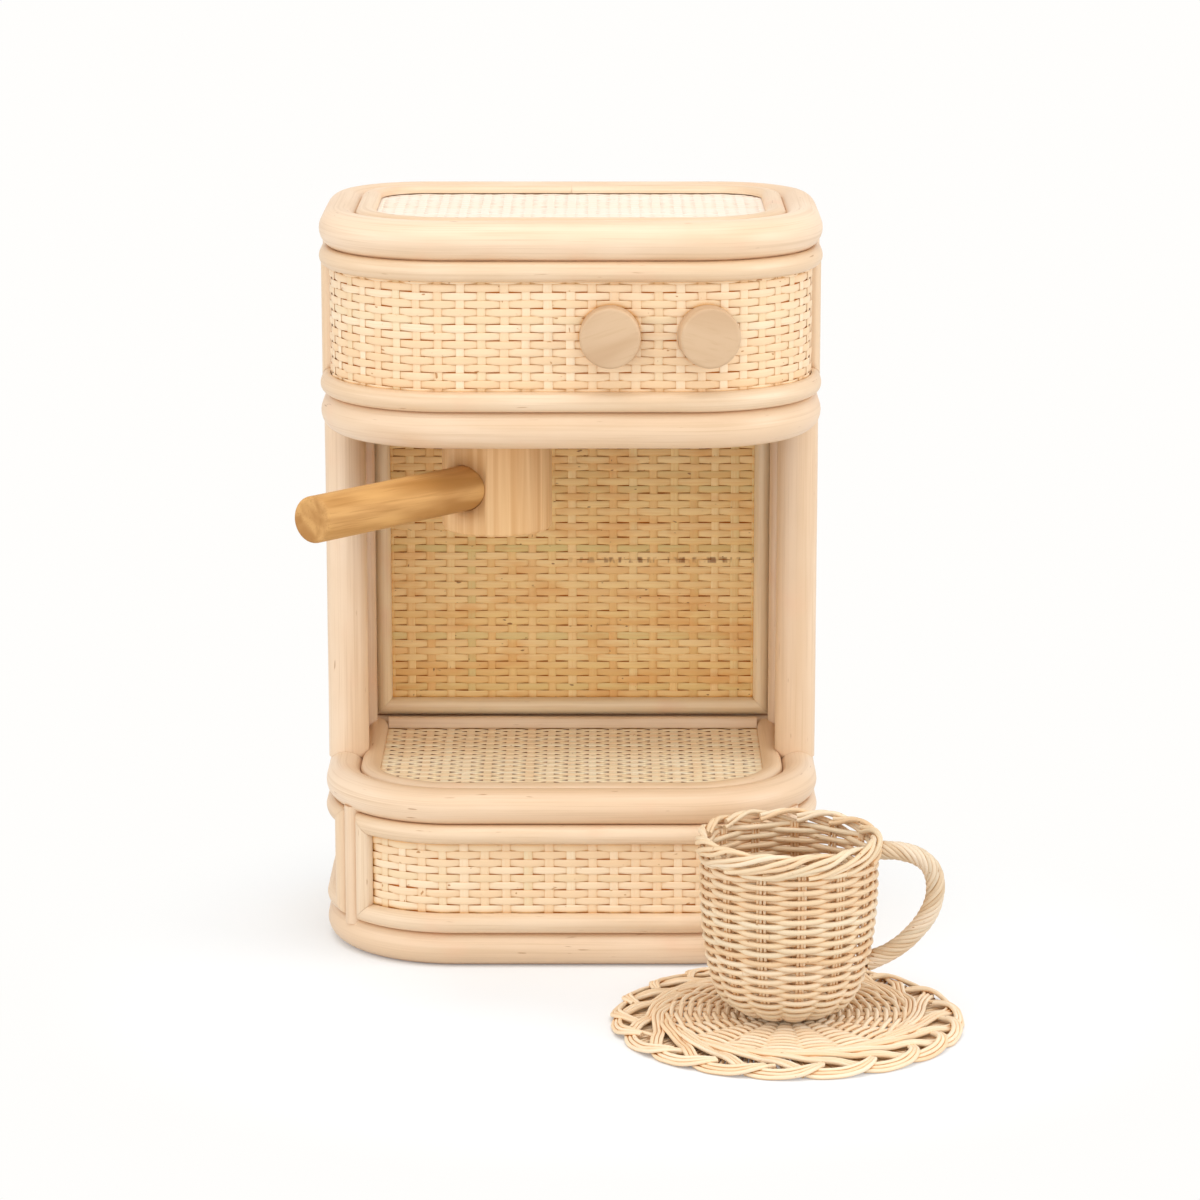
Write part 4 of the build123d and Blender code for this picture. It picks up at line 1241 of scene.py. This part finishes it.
def saucer_border():
    """Groups of three strands that leave the disc, run round its edge and go under the groups ahead."""
    bundle = Bundle(112)
    rng = bundle.rng
    knots = np.array(BORDER_ROUTE, float)
    turn = np.linspace(knots[0, 0], knots[-1, 0], 110)
    r, z, roll = (smoothed(values, 3) for values in read_at(turn, knots[:, 0], knots[:, 1:]))
    roll = np.radians(roll)
    for i in range(SPOKES):
        lead = rng.uniform(-1.8, 1.8)
        grow = 0.5 * wobble(turn, rng, 60)
        for k in (-1, 0, 1):
            stop = len(turn) - int(rng.uniform(0, 5))
            part = (values[:stop] for values in (turn, r + grow, z, roll))
            border_strand(bundle, 360 / SPOKES * i + lead, *part, k)
    # the ends of the spokes run out below the border
    r = np.linspace(UNDER_START, UNDER_END, 8)
    lean = (r - UNDER_START) * 0.004
    for i in range(SPOKES * UNDER_STAKES):
        angle = 2 * math.pi * (i + rng.uniform(-0.2, 0.2)) / (SPOKES * UNDER_STAKES) + lean
        strand(bundle, around(SAUCER_X, SAUCER_Y, r, angle, UNDER_Z), UNDER_R, UPWARD, sides=7)
    stand_for(bundle, "saucer_plaited_border", SAUCER_WICKER, "saucer_border")


saucer_disc()
saucer_border()


# ======================= what stays as CAD made it =======================

for node, piece in frame["nodes"].items():
    if piece.hide_render:
        continue
    piece.data.materials.clear()
    piece.data.materials.append(PINE)


# ======================= floor, light and camera, in metres =======================

FLOOR_HALF = 15.0
FLOOR_COLOUR = (0.775, 0.80, 0.825, 1.0)
FLOOR_GLOW = 0.15
# the floor shows its shadow this far from this place, and is plain white beyond
SHADOW_MIDDLE = (0.03, -0.09, 0.0)
SHADOW_REACH = (0.13, 0.31)
WHITE = (1.0, 0.992, 0.975, 1.0)
SKY_COLOUR = (1.0, 0.985, 0.96, 1.0)
AMBIENT = 0.66
# name, place, size and power of each lamp
LAMPS = [("key_lamp", (0.0, -1.7, 1.9), (2.2, 1.0), 6.0),
         ("front_lamp", (-0.9, -2.2, 0.42), (2.8, 0.8), 12.0),
         ("top_lamp", (0.0, -0.4, 2.1), (1.6, 1.4), 14.5),
         ("left_lamp", (-1.9, -0.7, 0.9), (1.2, 1.2), 8.0),
         ("right_lamp", (1.9, -0.7, 0.9), (1.2, 1.2), 16.0)]
CAMERA_PLACE = (0.01448, -2.10396, 0.64024)
# degrees down from level
CAMERA_PITCH = 12.63
CAMERA_LENS = 126.6


def add_to_scene(name, data):
    made = bpy.data.objects.new(name, data)
    bpy.context.scene.collection.objects.link(made)
    return made


def lay_floor():
    """A white floor that keeps the shadow near the object."""
    mesh = bpy.data.meshes.new("floor")
    corners = [(x * FLOOR_HALF, y * FLOOR_HALF, 0) for x, y in ((-1, -1), (1, -1), (1, 1), (-1, 1))]
    mesh.from_pydata(corners, [], [(0, 1, 2, 3)])
    floor = add_to_scene("floor", mesh)
    s = Shader("floor", 0.9, 0.0)
    s.set("Base Color", FLOOR_COLOUR)
    plain = s.surface.outputs[0]
    near = s.node("ShaderNodeAddShader", {0: plain, 1: s.glow("ShaderNodeEmission", WHITE, FLOOR_GLOW)})[0]
    away = s.node("ShaderNodeVectorMath", {0: s.position(), 1: SHADOW_MIDDLE}, operation="DISTANCE")["Value"]
    shown = s.mix_shaders(s.ramp(away, *SHADOW_REACH), near, s.glow("ShaderNodeEmission", WHITE, 1.0))
    output = s.tree.nodes["Material Output"].inputs["Surface"]
    s.feed(output, s.mix_shaders(s.visible_rays(), plain, shown))
    mesh.materials.append(s.material)


def sky():
    """A pale sky that lights the object, and white where it is seen."""
    world = bpy.data.worlds.new("studio")
    bpy.context.scene.world = world
    world.use_nodes = True
    s = Nodes(world.node_tree)
    back = world.node_tree.nodes["Background"]
    s.feed(back.inputs["Color"], SKY_COLOUR)
    s.feed(back.inputs["Strength"], AMBIENT)
    shown = s.glow("ShaderNodeBackground", WHITE, 1.0)
    output = world.node_tree.nodes["World Output"].inputs["Surface"]
    s.feed(output, s.mix_shaders(s.visible_rays(), back.outputs[0], shown))


def lamps():
    for name, place, size, energy in LAMPS:
        lamp = bpy.data.lights.new(name, "AREA")
        lamp.shape = "RECTANGLE"
        lamp.size, lamp.size_y = size
        lamp.energy = energy
        holder = add_to_scene(name, lamp)
        holder.location = place
        aim = Vector((0, 0, 0.15)) - Vector(place)
        holder.rotation_euler = aim.to_track_quat("-Z", "Y").to_euler()


def place_camera():
    """The camera that took the photo, as fitted to its outlines."""
    camera = bpy.data.cameras.new("camera")
    camera.sensor_width = 36.0
    camera.lens = CAMERA_LENS
    camera.clip_start = 0.05
    camera.clip_end = 50.0
    holder = add_to_scene("camera", camera)
    holder.location = CAMERA_PLACE
    holder.rotation_euler = (math.radians(90 - CAMERA_PITCH), 0, 0)
    bpy.context.scene.camera = holder
    bpy.context.scene.view_settings.view_transform = "Standard"


lay_floor()
sky()
lamps()
place_camera()
